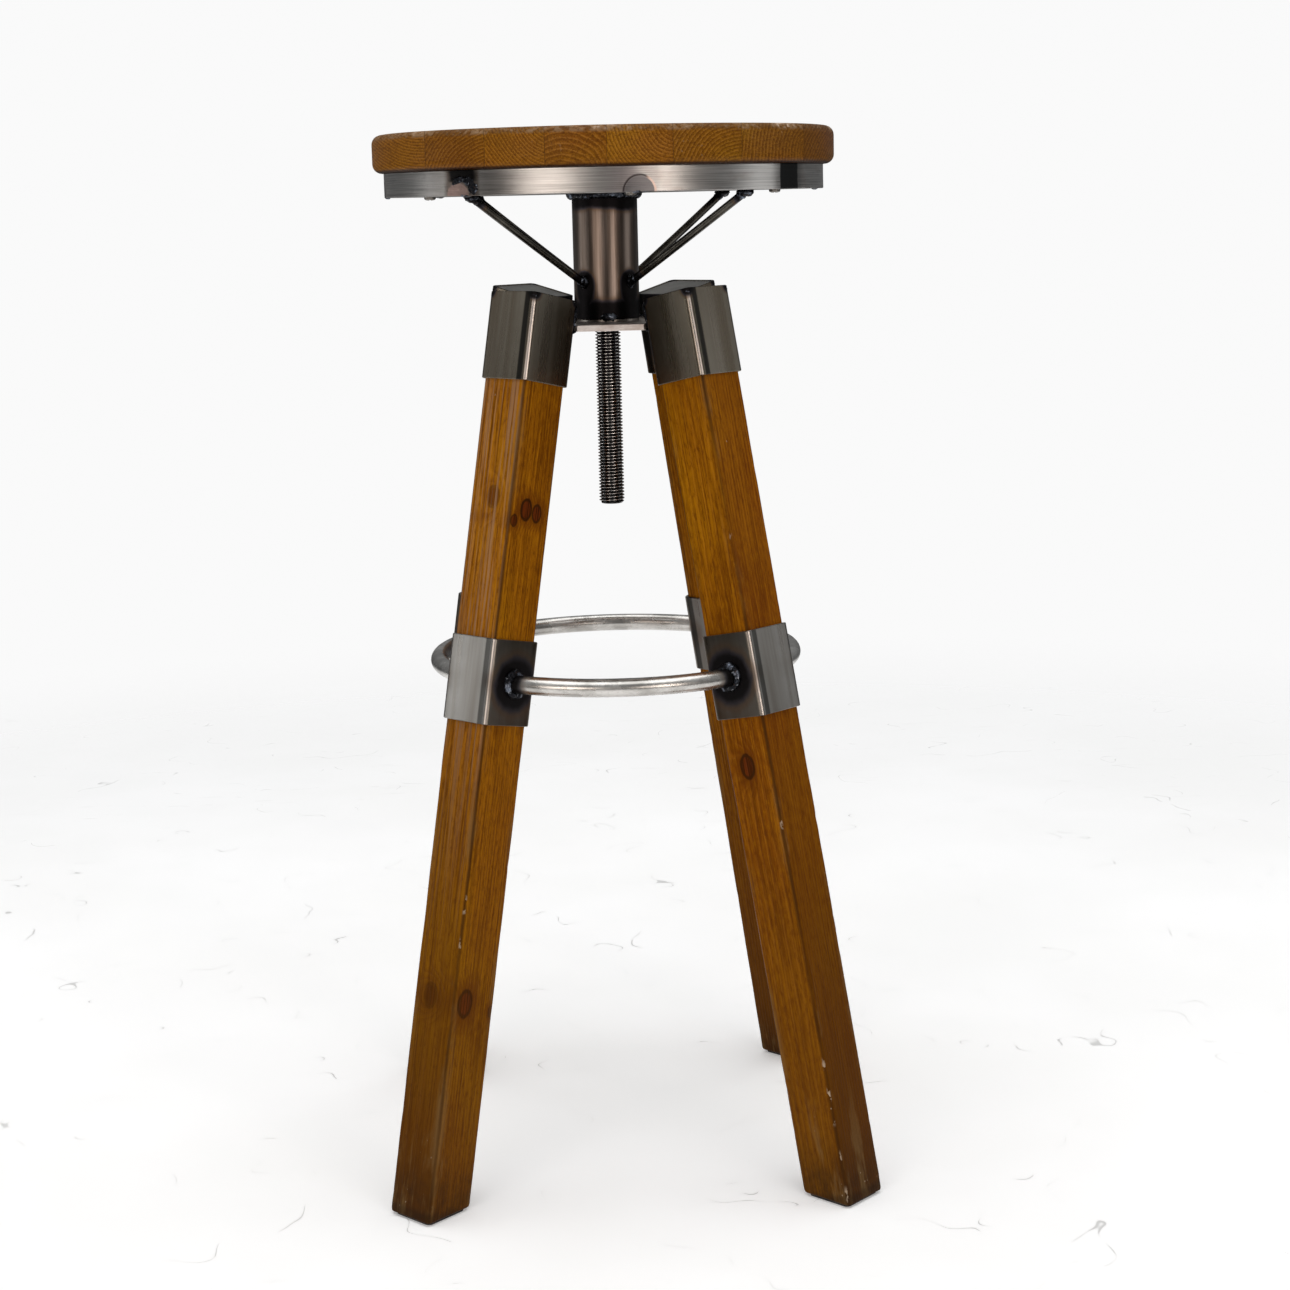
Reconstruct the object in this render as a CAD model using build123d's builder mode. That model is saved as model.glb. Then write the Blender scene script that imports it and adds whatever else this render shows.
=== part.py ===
import os
from math import cos, pi, radians, sin, sqrt, tan

from build123d import *

# Screw-adjustable swivel stool on four splayed timber legs, in millimetres.
# Origin on the floor below the screw's axis, +Z up, the legs on the diagonals,
# the front of the stool towards -Y. The seat is stored fully lowered.

# Seat: edge-glued staves, rebated into a steel hoop
SEAT_RADIUS = 177.8
SEAT_TOP = 810.0
SEAT_SHOULDER = 781.4
SEAT_BOTTOM = 766.0
SEAT_ROUNDING = 7.0
SEAT_REBATE_RADIUS = 165.2
STAVE_JOINTS = (-133.0, -90.0, -47.5, -4.0, 43.0, 93.5, 143.5)

# Steel under the seat
HOOP_RADIUS = 169.5
HOOP_THICKNESS = 4.0
SEAT_STEEL_BOTTOM = 763.0
TUBE_DIAMETER = 50.8
TUBE_WALL = 3.0
TUBE_BOTTOM = 667.0
GUSSET_DIAMETER = 6.0
GUSSET_LOW = (25.4, 695.0)
GUSSET_HIGH = (144.7, 763.0)
SEAT_SCREW_CIRCLE = 135.0
SEAT_SCREW_START = 6.0
SEAT_SCREW_SHANK = 4.4
SEAT_SCREW_HEAD = 9.0
SEAT_SCREW_LENGTH = 25.0

# Lift screw, its nut and the ring on the tube's end
SCREW_DIAMETER = 20.0
SCREW_BOTTOM = 521.6
NUT_ACROSS_FLATS = 30.0
NUT_HEIGHT = 16.0
NUT_BORE = 20.12
RING_DIAMETER = 50.0
RING_BORE = 38.0
RING_BOTTOM = 665.2
RING_HEIGHT = 1.6

# Hub plate: a regular octagon, its diagonal sides against the leg caps
HUB_APOTHEM = 60.8
HUB_TOP = 665.0
HUB_THICKNESS = 5.0
HUB_BORE = 21.0

# Legs, measured along each leg's own axis from where it meets the floor
LEG_WIDTH = 43.8
LEG_EDGE = 3.0
LEG_SPLAY = 11.87
LEG_FOOT_RADIUS = 225.2
SLEEVE_WIDTH = 48.0
SLEEVE_WALL = 2.0
SLEEVE_CORNER = 4.0
CAP_BOTTOM = 636.7
CAP_TOP = 702.7
CAP_PLATE_THICKNESS = 3.0
CAP_PLATE_INSET = 0.5
CAP_PLATE_CORNER = 3.5
RING_SLEEVE_BOTTOM = 377.6
RING_SLEEVE_TOP = 442.4
PAD_SIZE = 38.0
PAD_CORNER = 4.0
PAD_THICKNESS = 2.5

# Foot ring
FOOT_RING_RADIUS = 141.0
FOOT_RING_HEIGHT = 400.3
FOOT_RING_TUBE = 14.0
FOOT_RING_WALL = 1.5

LEG_NAMES = ("front_left", "front_right", "rear_right", "rear_left")
LEG_ANGLES = (225.0, 315.0, 45.0, 135.0)
SIDE_NAMES = ("front", "right", "rear", "left")

os.makedirs("parts", exist_ok=True)
splay = radians(LEG_SPLAY)


def save(part, name):
    """Labels one finished piece and writes it to its own file."""
    part.label = name
    export_step(part, f"parts/{name}.step")


def leg_plane(angle, distance):
    """The plane square to a leg's axis, at a distance up the axis from the floor.

    Its x points outwards, away from the screw, and its y runs across the leg."""
    ux = cos(radians(angle))
    uy = sin(radians(angle))
    along = Vector(-sin(splay) * ux, -sin(splay) * uy, cos(splay))
    outward = Vector(cos(splay) * ux, cos(splay) * uy, sin(splay))
    foot = Vector(LEG_FOOT_RADIUS * ux, LEG_FOOT_RADIUS * uy, 0)
    return Plane(origin=foot + along * distance, x_dir=outward, z_dir=along)


# Staves: one turned disc cut along the joint lines, with the screws' pilot holes
stave_edges = (-SEAT_RADIUS - 1,) + STAVE_JOINTS + (SEAT_RADIUS + 1,)
for number in range(len(stave_edges) - 1):
    left_edge = stave_edges[number]
    right_edge = stave_edges[number + 1]
    with BuildPart() as stave:
        with BuildSketch(Plane.XZ):
            with BuildLine():
                Polyline(
                    (0, SEAT_BOTTOM),
                    (SEAT_REBATE_RADIUS, SEAT_BOTTOM),
                    (SEAT_REBATE_RADIUS, SEAT_SHOULDER),
                    (SEAT_RADIUS, SEAT_SHOULDER),
                    (SEAT_RADIUS, SEAT_TOP),
                    (0, SEAT_TOP),
                    close=True,
                )
            make_face()
        revolve(axis=Axis.Z)
        rim = stave.edges().filter_by(GeomType.CIRCLE)
        rim = rim.filter_by(lambda edge: edge.radius > SEAT_RADIUS - 0.1)
        fillet(rim, SEAT_ROUNDING)
        with BuildSketch(Plane.XY.offset(SEAT_BOTTOM)):
            with PolarLocations(SEAT_SCREW_CIRCLE, 4, start_angle=SEAT_SCREW_START):
                Circle(SEAT_SCREW_SHANK / 2 + 0.1)
        extrude(amount=SEAT_SCREW_LENGTH, mode=Mode.SUBTRACT)
        with BuildSketch(Plane.XY.offset(SEAT_BOTTOM - 1)):
            with Locations(((left_edge + right_edge) / 2, 0)):
                Rectangle(right_edge - left_edge, 2 * SEAT_RADIUS + 10)
        extrude(amount=SEAT_TOP - SEAT_BOTTOM + 2, mode=Mode.INTERSECT)
    save(stave.part, f"seat_stave_{number + 1}")

# Hoop: flat bar bent on its edge's face, closed by a butt weld
with BuildPart() as hoop:
    with BuildSketch(Plane.XY.offset(SEAT_STEEL_BOTTOM)):
        Circle(HOOP_RADIUS)
        Circle(HOOP_RADIUS - HOOP_THICKNESS, mode=Mode.SUBTRACT)
    extrude(amount=SEAT_SHOULDER - SEAT_STEEL_BOTTOM)
    chamfer(hoop.edges().filter_by(GeomType.CIRCLE).group_by(Axis.Z)[0], 0.5)
save(hoop.part, "seat_hoop")

# Plate: closes the hoop from below, level with its lower edge
with BuildPart() as seat_plate:
    with BuildSketch(Plane.XY.offset(SEAT_STEEL_BOTTOM)):
        Circle(HOOP_RADIUS - HOOP_THICKNESS)
        Circle(SCREW_DIAMETER / 2, mode=Mode.SUBTRACT)
        with PolarLocations(SEAT_SCREW_CIRCLE, 4, start_angle=SEAT_SCREW_START):
            Circle(SEAT_SCREW_SHANK / 2 + 0.3, mode=Mode.SUBTRACT)
    extrude(amount=SEAT_BOTTOM - SEAT_STEEL_BOTTOM)
save(seat_plate.part, "seat_plate")

# Four pan-head screws driven up through the plate into the wood
with BuildPart() as seat_screws:
    with PolarLocations(SEAT_SCREW_CIRCLE, 4, start_angle=SEAT_SCREW_START):
        with Locations((0, 0, SEAT_STEEL_BOTTOM)):
            Cylinder(
                SEAT_SCREW_HEAD / 2,
                2.6,
                align=(Align.CENTER, Align.CENTER, Align.MAX),
            )
            Cylinder(
                SEAT_SCREW_SHANK / 2,
                SEAT_SCREW_LENGTH - 3,
                align=(Align.CENTER, Align.CENTER, Align.MIN),
            )
    head_rims = seat_screws.edges().filter_by(GeomType.CIRCLE).group_by(Axis.Z)[0]
    fillet(head_rims, 1.8)
    tips = seat_screws.edges().filter_by(GeomType.CIRCLE).group_by(Axis.Z)[-1]
    chamfer(tips, 3.0, 1.8)
save(seat_screws.part, "seat_screws")

# Tube: hangs from the plate and covers the nut
with BuildPart() as centre_tube:
    with BuildSketch(Plane.XY.offset(TUBE_BOTTOM)):
        Circle(TUBE_DIAMETER / 2)
        Circle(TUBE_DIAMETER / 2 - TUBE_WALL, mode=Mode.SUBTRACT)
    extrude(amount=SEAT_STEEL_BOTTOM - TUBE_BOTTOM)
save(centre_tube.part, "centre_tube")

# Four slanting rods brace the tube to the plate, one over each leg
rod_run = GUSSET_HIGH[0] - GUSSET_LOW[0]
rod_rise = GUSSET_HIGH[1] - GUSSET_LOW[1]
rod_length = sqrt(rod_run**2 + rod_rise**2)
for name, angle in zip(LEG_NAMES, LEG_ANGLES):
    ux = cos(radians(angle))
    uy = sin(radians(angle))
    direction = Vector(rod_run * ux, rod_run * uy, rod_rise).normalized()
    middle = Vector(GUSSET_LOW[0] * ux, GUSSET_LOW[0] * uy, GUSSET_LOW[1])
    start = middle - direction * 12
    with BuildPart() as gusset:
        with BuildSketch(Plane(origin=start, z_dir=direction)):
            Circle(GUSSET_DIAMETER / 2)
        extrude(amount=rod_length + 24)
        with BuildSketch(Plane.XY.offset(SEAT_STEEL_BOTTOM)):
            Circle(200)
        extrude(amount=60, mode=Mode.SUBTRACT)
        with BuildSketch(Plane.XY.offset(640)):
            Circle(TUBE_DIAMETER / 2)
        extrude(amount=120, mode=Mode.SUBTRACT)
    save(gusset.part, f"gusset_rod_{name}")

# Lift screw: the thread's outer cylinder, with a turned end
with BuildPart() as lift_screw:
    with BuildSketch(Plane.XY.offset(SCREW_BOTTOM)):
        Circle(SCREW_DIAMETER / 2)
    extrude(amount=SEAT_BOTTOM - SCREW_BOTTOM)
    chamfer(lift_screw.edges().filter_by(GeomType.CIRCLE).group_by(Axis.Z)[0], 1.5)
save(lift_screw.part, "lift_screw")

# Wear ring at the tube's lower end
with BuildPart() as end_ring:
    with BuildSketch(Plane.XY.offset(RING_BOTTOM)):
        Circle(RING_DIAMETER / 2)
        Circle(RING_BORE / 2, mode=Mode.SUBTRACT)
    extrude(amount=RING_HEIGHT)
save(end_ring.part, "tube_end_ring")

# Hub plate with the nut standing on it, inside the tube
with BuildPart() as hub_plate:
    with BuildSketch(Plane.XY.offset(HUB_TOP - HUB_THICKNESS)):
        RegularPolygon(HUB_APOTHEM, 8, major_radius=False, rotation=22.5)
        Circle(HUB_BORE / 2, mode=Mode.SUBTRACT)
    extrude(amount=HUB_THICKNESS)
    chamfer(hub_plate.edges().filter_by(Axis.Z), 0.6)
save(hub_plate.part, "hub_plate")

with BuildPart() as lift_nut:
    with BuildSketch(Plane.XY.offset(HUB_TOP)):
        RegularPolygon(NUT_ACROSS_FLATS / 2, 6, major_radius=False)
    extrude(amount=NUT_HEIGHT)
    corner_radius = NUT_ACROSS_FLATS / 2 / cos(pi / 6)
    with BuildSketch(Plane.XZ):
        with BuildLine():
            Polyline(
                (0, HUB_TOP),
                (corner_radius, HUB_TOP),
                (corner_radius, HUB_TOP + NUT_HEIGHT - 1.3),
                (corner_radius - 2.3, HUB_TOP + NUT_HEIGHT),
                (0, HUB_TOP + NUT_HEIGHT),
                close=True,
            )
        make_face()
    revolve(axis=Axis.Z, mode=Mode.INTERSECT)
    with BuildSketch(Plane.XY.offset(HUB_TOP)):
        Circle(NUT_BORE / 2)
    extrude(amount=NUT_HEIGHT, mode=Mode.SUBTRACT)
save(lift_nut.part, "lift_nut")

# Legs with their caps, cap plates, ring sleeves and pads
leg_top = CAP_TOP - CAP_PLATE_INSET - CAP_PLATE_THICKNESS - 0.5
for name, angle in zip(LEG_NAMES, LEG_ANGLES):
    with BuildPart() as leg:
        with BuildSketch(leg_plane(angle, -20)):
            RectangleRounded(LEG_WIDTH, LEG_WIDTH, LEG_EDGE)
        extrude(amount=leg_top + 20)
        split(bisect_by=Plane.XY.offset(PAD_THICKNESS), keep=Keep.TOP)
    save(leg.part, f"leg_{name}")

    with BuildPart() as cap:
        with BuildSketch(leg_plane(angle, CAP_BOTTOM)):
            RectangleRounded(SLEEVE_WIDTH, SLEEVE_WIDTH, SLEEVE_CORNER)
            bore = SLEEVE_WIDTH - 2 * SLEEVE_WALL
            RectangleRounded(bore, bore, SLEEVE_CORNER - SLEEVE_WALL, mode=Mode.SUBTRACT)
        extrude(amount=CAP_TOP - CAP_BOTTOM)
    save(cap.part, f"leg_cap_{name}")

    plate_top = CAP_TOP - CAP_PLATE_INSET
    with BuildPart() as cap_plate:
        with BuildSketch(leg_plane(angle, plate_top - CAP_PLATE_THICKNESS)) as plate_sketch:
            Rectangle(bore, bore)
            chamfer(plate_sketch.vertices(), CAP_PLATE_CORNER)
        extrude(amount=CAP_PLATE_THICKNESS)
    save(cap_plate.part, f"cap_plate_{name}")

    with BuildPart() as sleeve:
        with BuildSketch(leg_plane(angle, RING_SLEEVE_BOTTOM)):
            RectangleRounded(SLEEVE_WIDTH, SLEEVE_WIDTH, SLEEVE_CORNER)
            RectangleRounded(bore, bore, SLEEVE_CORNER - SLEEVE_WALL, mode=Mode.SUBTRACT)
        extrude(amount=RING_SLEEVE_TOP - RING_SLEEVE_BOTTOM)
    save(sleeve.part, f"ring_sleeve_{name}")

    pad_radius = LEG_FOOT_RADIUS - PAD_THICKNESS * tan(splay)
    pad_x = pad_radius * cos(radians(angle))
    pad_y = pad_radius * sin(radians(angle))
    with BuildPart() as pad:
        with BuildSketch(Plane.XY):
            with Locations((pad_x, pad_y)):
                RectangleRounded(PAD_SIZE, PAD_SIZE, PAD_CORNER, rotation=angle)
        extrude(amount=PAD_THICKNESS)
    save(pad.part, f"foot_pad_{name}")

# Foot ring: four bent tubes, each ending against the sides of two sleeves
apex = SLEEVE_WIDTH / 2 * sqrt(2)
far = 3 * FOOT_RING_RADIUS
for number, name in enumerate(SIDE_NAMES):
    middle_angle = 270 + 90 * number
    with BuildPart() as ring_tube:
        with BuildSketch(Plane.XZ.offset(0)):
            with Locations((FOOT_RING_RADIUS, FOOT_RING_HEIGHT)):
                Circle(FOOT_RING_TUBE / 2)
                Circle(FOOT_RING_TUBE / 2 - FOOT_RING_WALL, mode=Mode.SUBTRACT)
        revolve(axis=Axis.Z)
        with BuildSketch(Plane.XY.offset(FOOT_RING_HEIGHT - 20).rotated((0, 0, middle_angle))):
            Polygon((apex, 0), (apex + far, far), (apex + far, -far), align=None)
        extrude(amount=40, mode=Mode.INTERSECT)
    save(ring_tube.part, f"foot_ring_{name}")
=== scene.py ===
import math

import bmesh
import bpy
import numpy as np
from mathutils import Matrix, Vector, noise


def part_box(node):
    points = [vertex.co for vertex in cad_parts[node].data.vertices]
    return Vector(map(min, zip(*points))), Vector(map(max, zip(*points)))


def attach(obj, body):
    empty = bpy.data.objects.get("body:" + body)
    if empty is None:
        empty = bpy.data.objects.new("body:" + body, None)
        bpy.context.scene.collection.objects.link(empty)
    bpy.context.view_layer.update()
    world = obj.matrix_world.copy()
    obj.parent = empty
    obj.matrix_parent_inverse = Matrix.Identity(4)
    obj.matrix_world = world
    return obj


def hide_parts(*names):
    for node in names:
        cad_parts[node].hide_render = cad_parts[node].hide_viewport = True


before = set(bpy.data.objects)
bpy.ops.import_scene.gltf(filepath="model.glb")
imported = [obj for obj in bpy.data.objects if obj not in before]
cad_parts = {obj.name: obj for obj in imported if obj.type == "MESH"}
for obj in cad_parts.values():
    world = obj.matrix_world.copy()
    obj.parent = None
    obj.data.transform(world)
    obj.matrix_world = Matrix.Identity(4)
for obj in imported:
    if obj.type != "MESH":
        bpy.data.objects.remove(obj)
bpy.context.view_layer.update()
scene = bpy.context.scene

# ---------------------------------------------------------------- sizes from the CAD, in metres
CORNERS = {"front_left": 225, "front_right": 315, "rear_right": 45, "rear_left": 135}
SPLAY = math.radians(11.87)          # lean of each leg from upright, towards the middle
FOOT_RADIUS = 0.2252                 # where a leg's centre line meets the floor
LEG_HALF = 0.0219
LEG_EDGE = 0.003
LEG_TOP = 0.6987
SLEEVE_HALF = 0.024
SLEEVE_WALL = 0.002
SLEEVE_CORNER = 0.004
CAP_SPAN = (0.6367, 0.7027)          # along the leg, from the floor
RING_SLEEVE_SPAN = (0.3776, 0.4424)
PAD_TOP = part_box("foot_pad_front_left")[1][2]

SEAT_RADIUS = 0.1778
SEAT_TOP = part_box("seat_stave_4")[1][2]
SEAT_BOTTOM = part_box("seat_stave_4")[0][2]
SEAT_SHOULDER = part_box("seat_hoop")[1][2]
SEAT_REBATE = 0.1652
SEAT_ROUNDING = 0.007
STAVE_JOINTS = (-0.133, -0.090, -0.0475, -0.004, 0.043, 0.0935, 0.1435)
HOOP_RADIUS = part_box("seat_hoop")[1][0]
HOOP_WALL = 0.004
STEEL_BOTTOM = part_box("seat_hoop")[0][2]

TUBE_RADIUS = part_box("centre_tube")[1][0]
TUBE_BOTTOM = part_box("centre_tube")[0][2]
ROD_RADIUS = 0.003
ROD_FOOT = (0.0254, 0.695)           # distance from the axis, height
ROD_HEAD = (0.1447, 0.763)
HUB_BOTTOM, HUB_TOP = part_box("hub_plate")[0][2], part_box("hub_plate")[1][2]
HUB_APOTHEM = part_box("hub_plate")[1][0]
SCREW_BOTTOM, SCREW_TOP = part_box("lift_screw")[0][2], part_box("lift_screw")[1][2]
SCREW_RADIUS = 0.010
THREAD_PITCH = 0.0025
NUT_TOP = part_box("lift_nut")[1][2]
NUT_FLATS = 0.030
NUT_BORE = 0.01006
HUB_BORE = 0.0105
HALF_SIDE = math.radians(22.5)       # half of what one side of the hub's octagon spans
RING_RADIUS = 0.141
RING_HEIGHT = 0.4003
RING_TUBE = 0.007
SEAT_SCREW_CIRCLE = 0.135


# ---------------------------------------------------------------- material building
class Shade:
    """A node material with one Principled shader, and short names for the nodes used here."""

    def __init__(self, name, metallic=0.0):
        self.material = bpy.data.materials.new(name)
        self.material.use_nodes = True
        self.tree = self.material.node_tree
        self.tree.nodes.clear()
        self.output = self.tree.nodes.new("ShaderNodeOutputMaterial")
        self.shader = self.tree.nodes.new("ShaderNodeBsdfPrincipled")
        self.tree.links.new(self.shader.outputs["BSDF"], self.output.inputs["Surface"])
        self.shader.inputs["Metallic"].default_value = metallic

    def put(self, socket, value):
        if isinstance(value, bpy.types.NodeSocket):
            self.tree.links.new(value, socket)
        elif isinstance(value, (tuple, list)) and len(value) == 3 and socket.type == "RGBA":
            socket.default_value = (*value, 1.0)
        else:
            socket.default_value = value

    def set(self, name, value):
        self.put(self.shader.inputs[name], value)

    def math(self, operation, a, b=0.0, clamp=False):
        node = self.tree.nodes.new("ShaderNodeMath")
        node.operation = operation
        node.use_clamp = clamp
        self.put(node.inputs[0], a)
        self.put(node.inputs[1], b)
        return node.outputs[0]

    def add(self, a, b):
        return self.math("ADD", a, b)

    def sub(self, a, b):
        return self.math("SUBTRACT", a, b)

    def mul(self, a, b):
        return self.math("MULTIPLY", a, b)

    def absolute(self, value):
        return self.math("ABSOLUTE", value)

    def length(self, a, b):
        return self.math("SQRT", self.add(self.mul(a, a), self.mul(b, b)))

    def most(self, *values):
        result = values[0]
        for value in values[1:]:
            result = self.math("MAXIMUM", result, value)
        return result

    def step(self, value, start, end):
        """0 at start, 1 at end, smooth between them; start may be the larger."""
        node = self.tree.nodes.new("ShaderNodeMapRange")
        node.interpolation_type = "SMOOTHSTEP"
        flip = start > end
        self.put(node.inputs["Value"], value)
        node.inputs["From Min"].default_value = min(start, end)
        node.inputs["From Max"].default_value = max(start, end)
        node.inputs["To Min"].default_value = 1.0 if flip else 0.0
        node.inputs["To Max"].default_value = 0.0 if flip else 1.0
        return node.outputs["Result"]

    def range(self, value, low, high):
        """0..1 stretched to low..high."""
        return self.add(self.mul(value, high - low), low)

    def mix(self, factor, a, b, blend="MIX"):
        node = self.tree.nodes.new("ShaderNodeMix")
        node.data_type = "RGBA"
        node.blend_type = blend
        self.put(node.inputs[0], factor)
        self.put(node.inputs[6], a)
        self.put(node.inputs[7], b)
        return node.outputs[2]

    def over(self, colour, mask, amount, tint):
        """tint laid over colour where mask is 1, amount strong."""
        return self.mix(self.mul(mask, amount), colour, tint)

    def object_point(self):
        return self.tree.nodes.new("ShaderNodeTexCoord").outputs["Object"]

    def local_point(self):
        node = self.tree.nodes.new("ShaderNodeAttribute")
        node.attribute_name = "local"
        return node.outputs["Vector"]

    def split(self, vector):
        node = self.tree.nodes.new("ShaderNodeSeparateXYZ")
        self.put(node.inputs[0], vector)
        return node.outputs[0], node.outputs[1], node.outputs[2]

    def join(self, x, y, z):
        node = self.tree.nodes.new("ShaderNodeCombineXYZ")
        for socket, value in zip(node.inputs, (x, y, z)):
            self.put(socket, value)
        return node.outputs[0]

    def distance(self, vector, point):
        node = self.tree.nodes.new("ShaderNodeVectorMath")
        node.operation = "DISTANCE"
        self.put(node.inputs[0], vector)
        node.inputs[1].default_value = point
        return node.outputs["Value"]

    def noise(self, vector, detail=2.0, roughness=0.5, scale=1.0):
        node = self.tree.nodes.new("ShaderNodeTexNoise")
        self.put(node.inputs["Vector"], vector)
        node.inputs["Scale"].default_value = scale
        node.inputs["Detail"].default_value = detail
        node.inputs["Roughness"].default_value = roughness
        return node.outputs["Fac"]

    def grain(self, point, across, lengthways, shift, detail=2.0, roughness=0.5):
        """Noise drawn out along a piece. across and lengthways are its scales, and shift picks another pattern."""
        x, y, along = point
        where = self.join(self.mul(x, across), self.mul(y, across), self.add(self.mul(along, lengthways), shift))
        return self.noise(where, detail, roughness)

    def bump(self, height, distance, strength=1.0):
        node = self.tree.nodes.new("ShaderNodeBump")
        self.put(node.inputs["Height"], height)
        node.inputs["Distance"].default_value = distance
        node.inputs["Strength"].default_value = strength
        self.put(self.shader.inputs["Normal"], node.outputs["Normal"])


def pine(s, x, y, along, pith, seed, spacing, early, late, knots=(), rings=0.5, streaks=1.0, speckle=1.0):
    """Colour and relief of stained pine: growth rings round a pith line, fibres, stain blotches and knots.
    x and y lie across the grain and along runs with it, all sockets in metres."""
    slow = s.grain((x, y, along), 9, 1.7, seed, 2)
    quick = s.grain((x, y, along), 45, 8, seed * 3, 3, 0.6)
    dx, dy = s.sub(x, pith[0]), s.sub(y, pith[1])
    radius = s.length(dx, dy)
    radius = s.add(radius, s.mul(s.sub(slow, 0.5), 0.020))
    radius = s.add(radius, s.mul(s.sub(quick, 0.5), spacing * 1.3))
    knot_dark = knot_core = knot_halo = 0.0
    for axis, across, height, size, strength in knots:
        side = y if axis == "x" else x
        du = s.sub(side, across)
        dv = s.mul(s.sub(along, height), 0.70)
        reach = s.length(du, dv)
        reach = s.add(reach, s.mul(s.sub(quick, 0.5), size * 0.9))
        radius = s.add(radius, s.mul(s.step(reach, size * 2.6, size * 0.5), size * 0.9))
        knot_dark = s.most(s.mul(s.step(reach, size * 1.15, size * 0.95), strength), knot_dark)
        knot_core = s.most(s.mul(s.step(reach, size * 0.85, size * 0.65), strength), knot_core)
        knot_halo = s.most(s.mul(s.step(reach, size * 2.6, size * 0.9), strength), knot_halo)
    ring = s.math("FRACT", s.math("DIVIDE", radius, spacing))
    dark_ring = s.mul(s.step(ring, 0.36, 0.82), s.step(ring, 1.0, 0.92))
    pale_ring = s.mul(s.step(ring, 0.0, 0.08), s.step(ring, 0.34, 0.16))
    fibre = s.grain((x, y, along), 900, 20, seed, 3, 0.65)
    streak = s.grain((x, y, along), 280, 4.5, seed * 4, 3, 0.65)
    pores = s.grain((x, y, along), 1900, 160, seed, 1)
    blotch = s.grain((x, y, along), 17, 5, seed * 5, 3, 0.55)
    hue = s.grain((x, y, along), 13, 3.6, seed * 8, 2)
    mottle = s.grain((x, y, along), 420, 130, seed * 2, 3, 0.7)
    golden = (early[0] * 1.22, early[1] * 1.42, early[2] * 1.1)
    reddish = (early[0] * 0.80, early[1] * 0.62, early[2] * 0.9)
    colour = s.over(early, s.step(hue, 0.53, 0.68), 0.95, golden)
    colour = s.over(colour, s.step(hue, 0.47, 0.32), 0.80, reddish)
    colour = s.over(colour, dark_ring, rings, late)
    colour = s.over(colour, pale_ring, rings * 0.75, (early[0] * 1.5, early[1] * 1.7, early[2] * 3.0 + 0.012))
    colour = s.over(colour, s.step(blotch, 0.47, 0.68), 0.14 + 0.52 * speckle, tuple(c * 0.85 for c in late))
    colour = s.over(colour, s.step(mottle, 0.50, 0.66), 0.55 * speckle, (late[0] * 0.80, late[1] * 0.80, late[2]))
    colour = s.over(colour, s.step(mottle, 0.48, 0.34), 0.45 * speckle, (early[0] * 1.25, early[1] * 1.40, early[2]))
    colour = s.over(colour, s.mul(s.step(streak, 0.52, 0.66), 0.72), streaks, tuple(c * 0.62 for c in late))
    colour = s.over(colour, s.mul(s.step(streak, 0.47, 0.33), 0.50), streaks,
                    (early[0] * 1.30, early[1] * 1.40, early[2] * 3))
    colour = s.over(colour, s.step(fibre, 0.50, 0.66), 0.66, tuple(c * 0.70 for c in late))
    colour = s.over(colour, s.step(fibre, 0.47, 0.33), 0.46, (early[0] * 1.4, early[1] * 1.55, early[2] * 2))
    colour = s.over(colour, s.step(pores, 0.62, 0.74), 0.40, (0.06, 0.020, 0.003))
    if knots:
        colour = s.over(colour, knot_halo, s.range(streak, 0.35, 0.95), (0.125, 0.030, 0.002))
        colour = s.over(colour, knot_dark, 0.88, (0.026, 0.008, 0.002))
        core = s.mix(s.step(fibre, 0.42, 0.58), (0.160, 0.030, 0.004), (0.050, 0.011, 0.002))
        colour = s.over(colour, knot_core, 0.80, core)
    relief = s.add(s.mul(dark_ring, 0.35), s.add(s.mul(fibre, 0.40), s.mul(streak, 0.35)))
    return colour, relief, blotch


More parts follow.
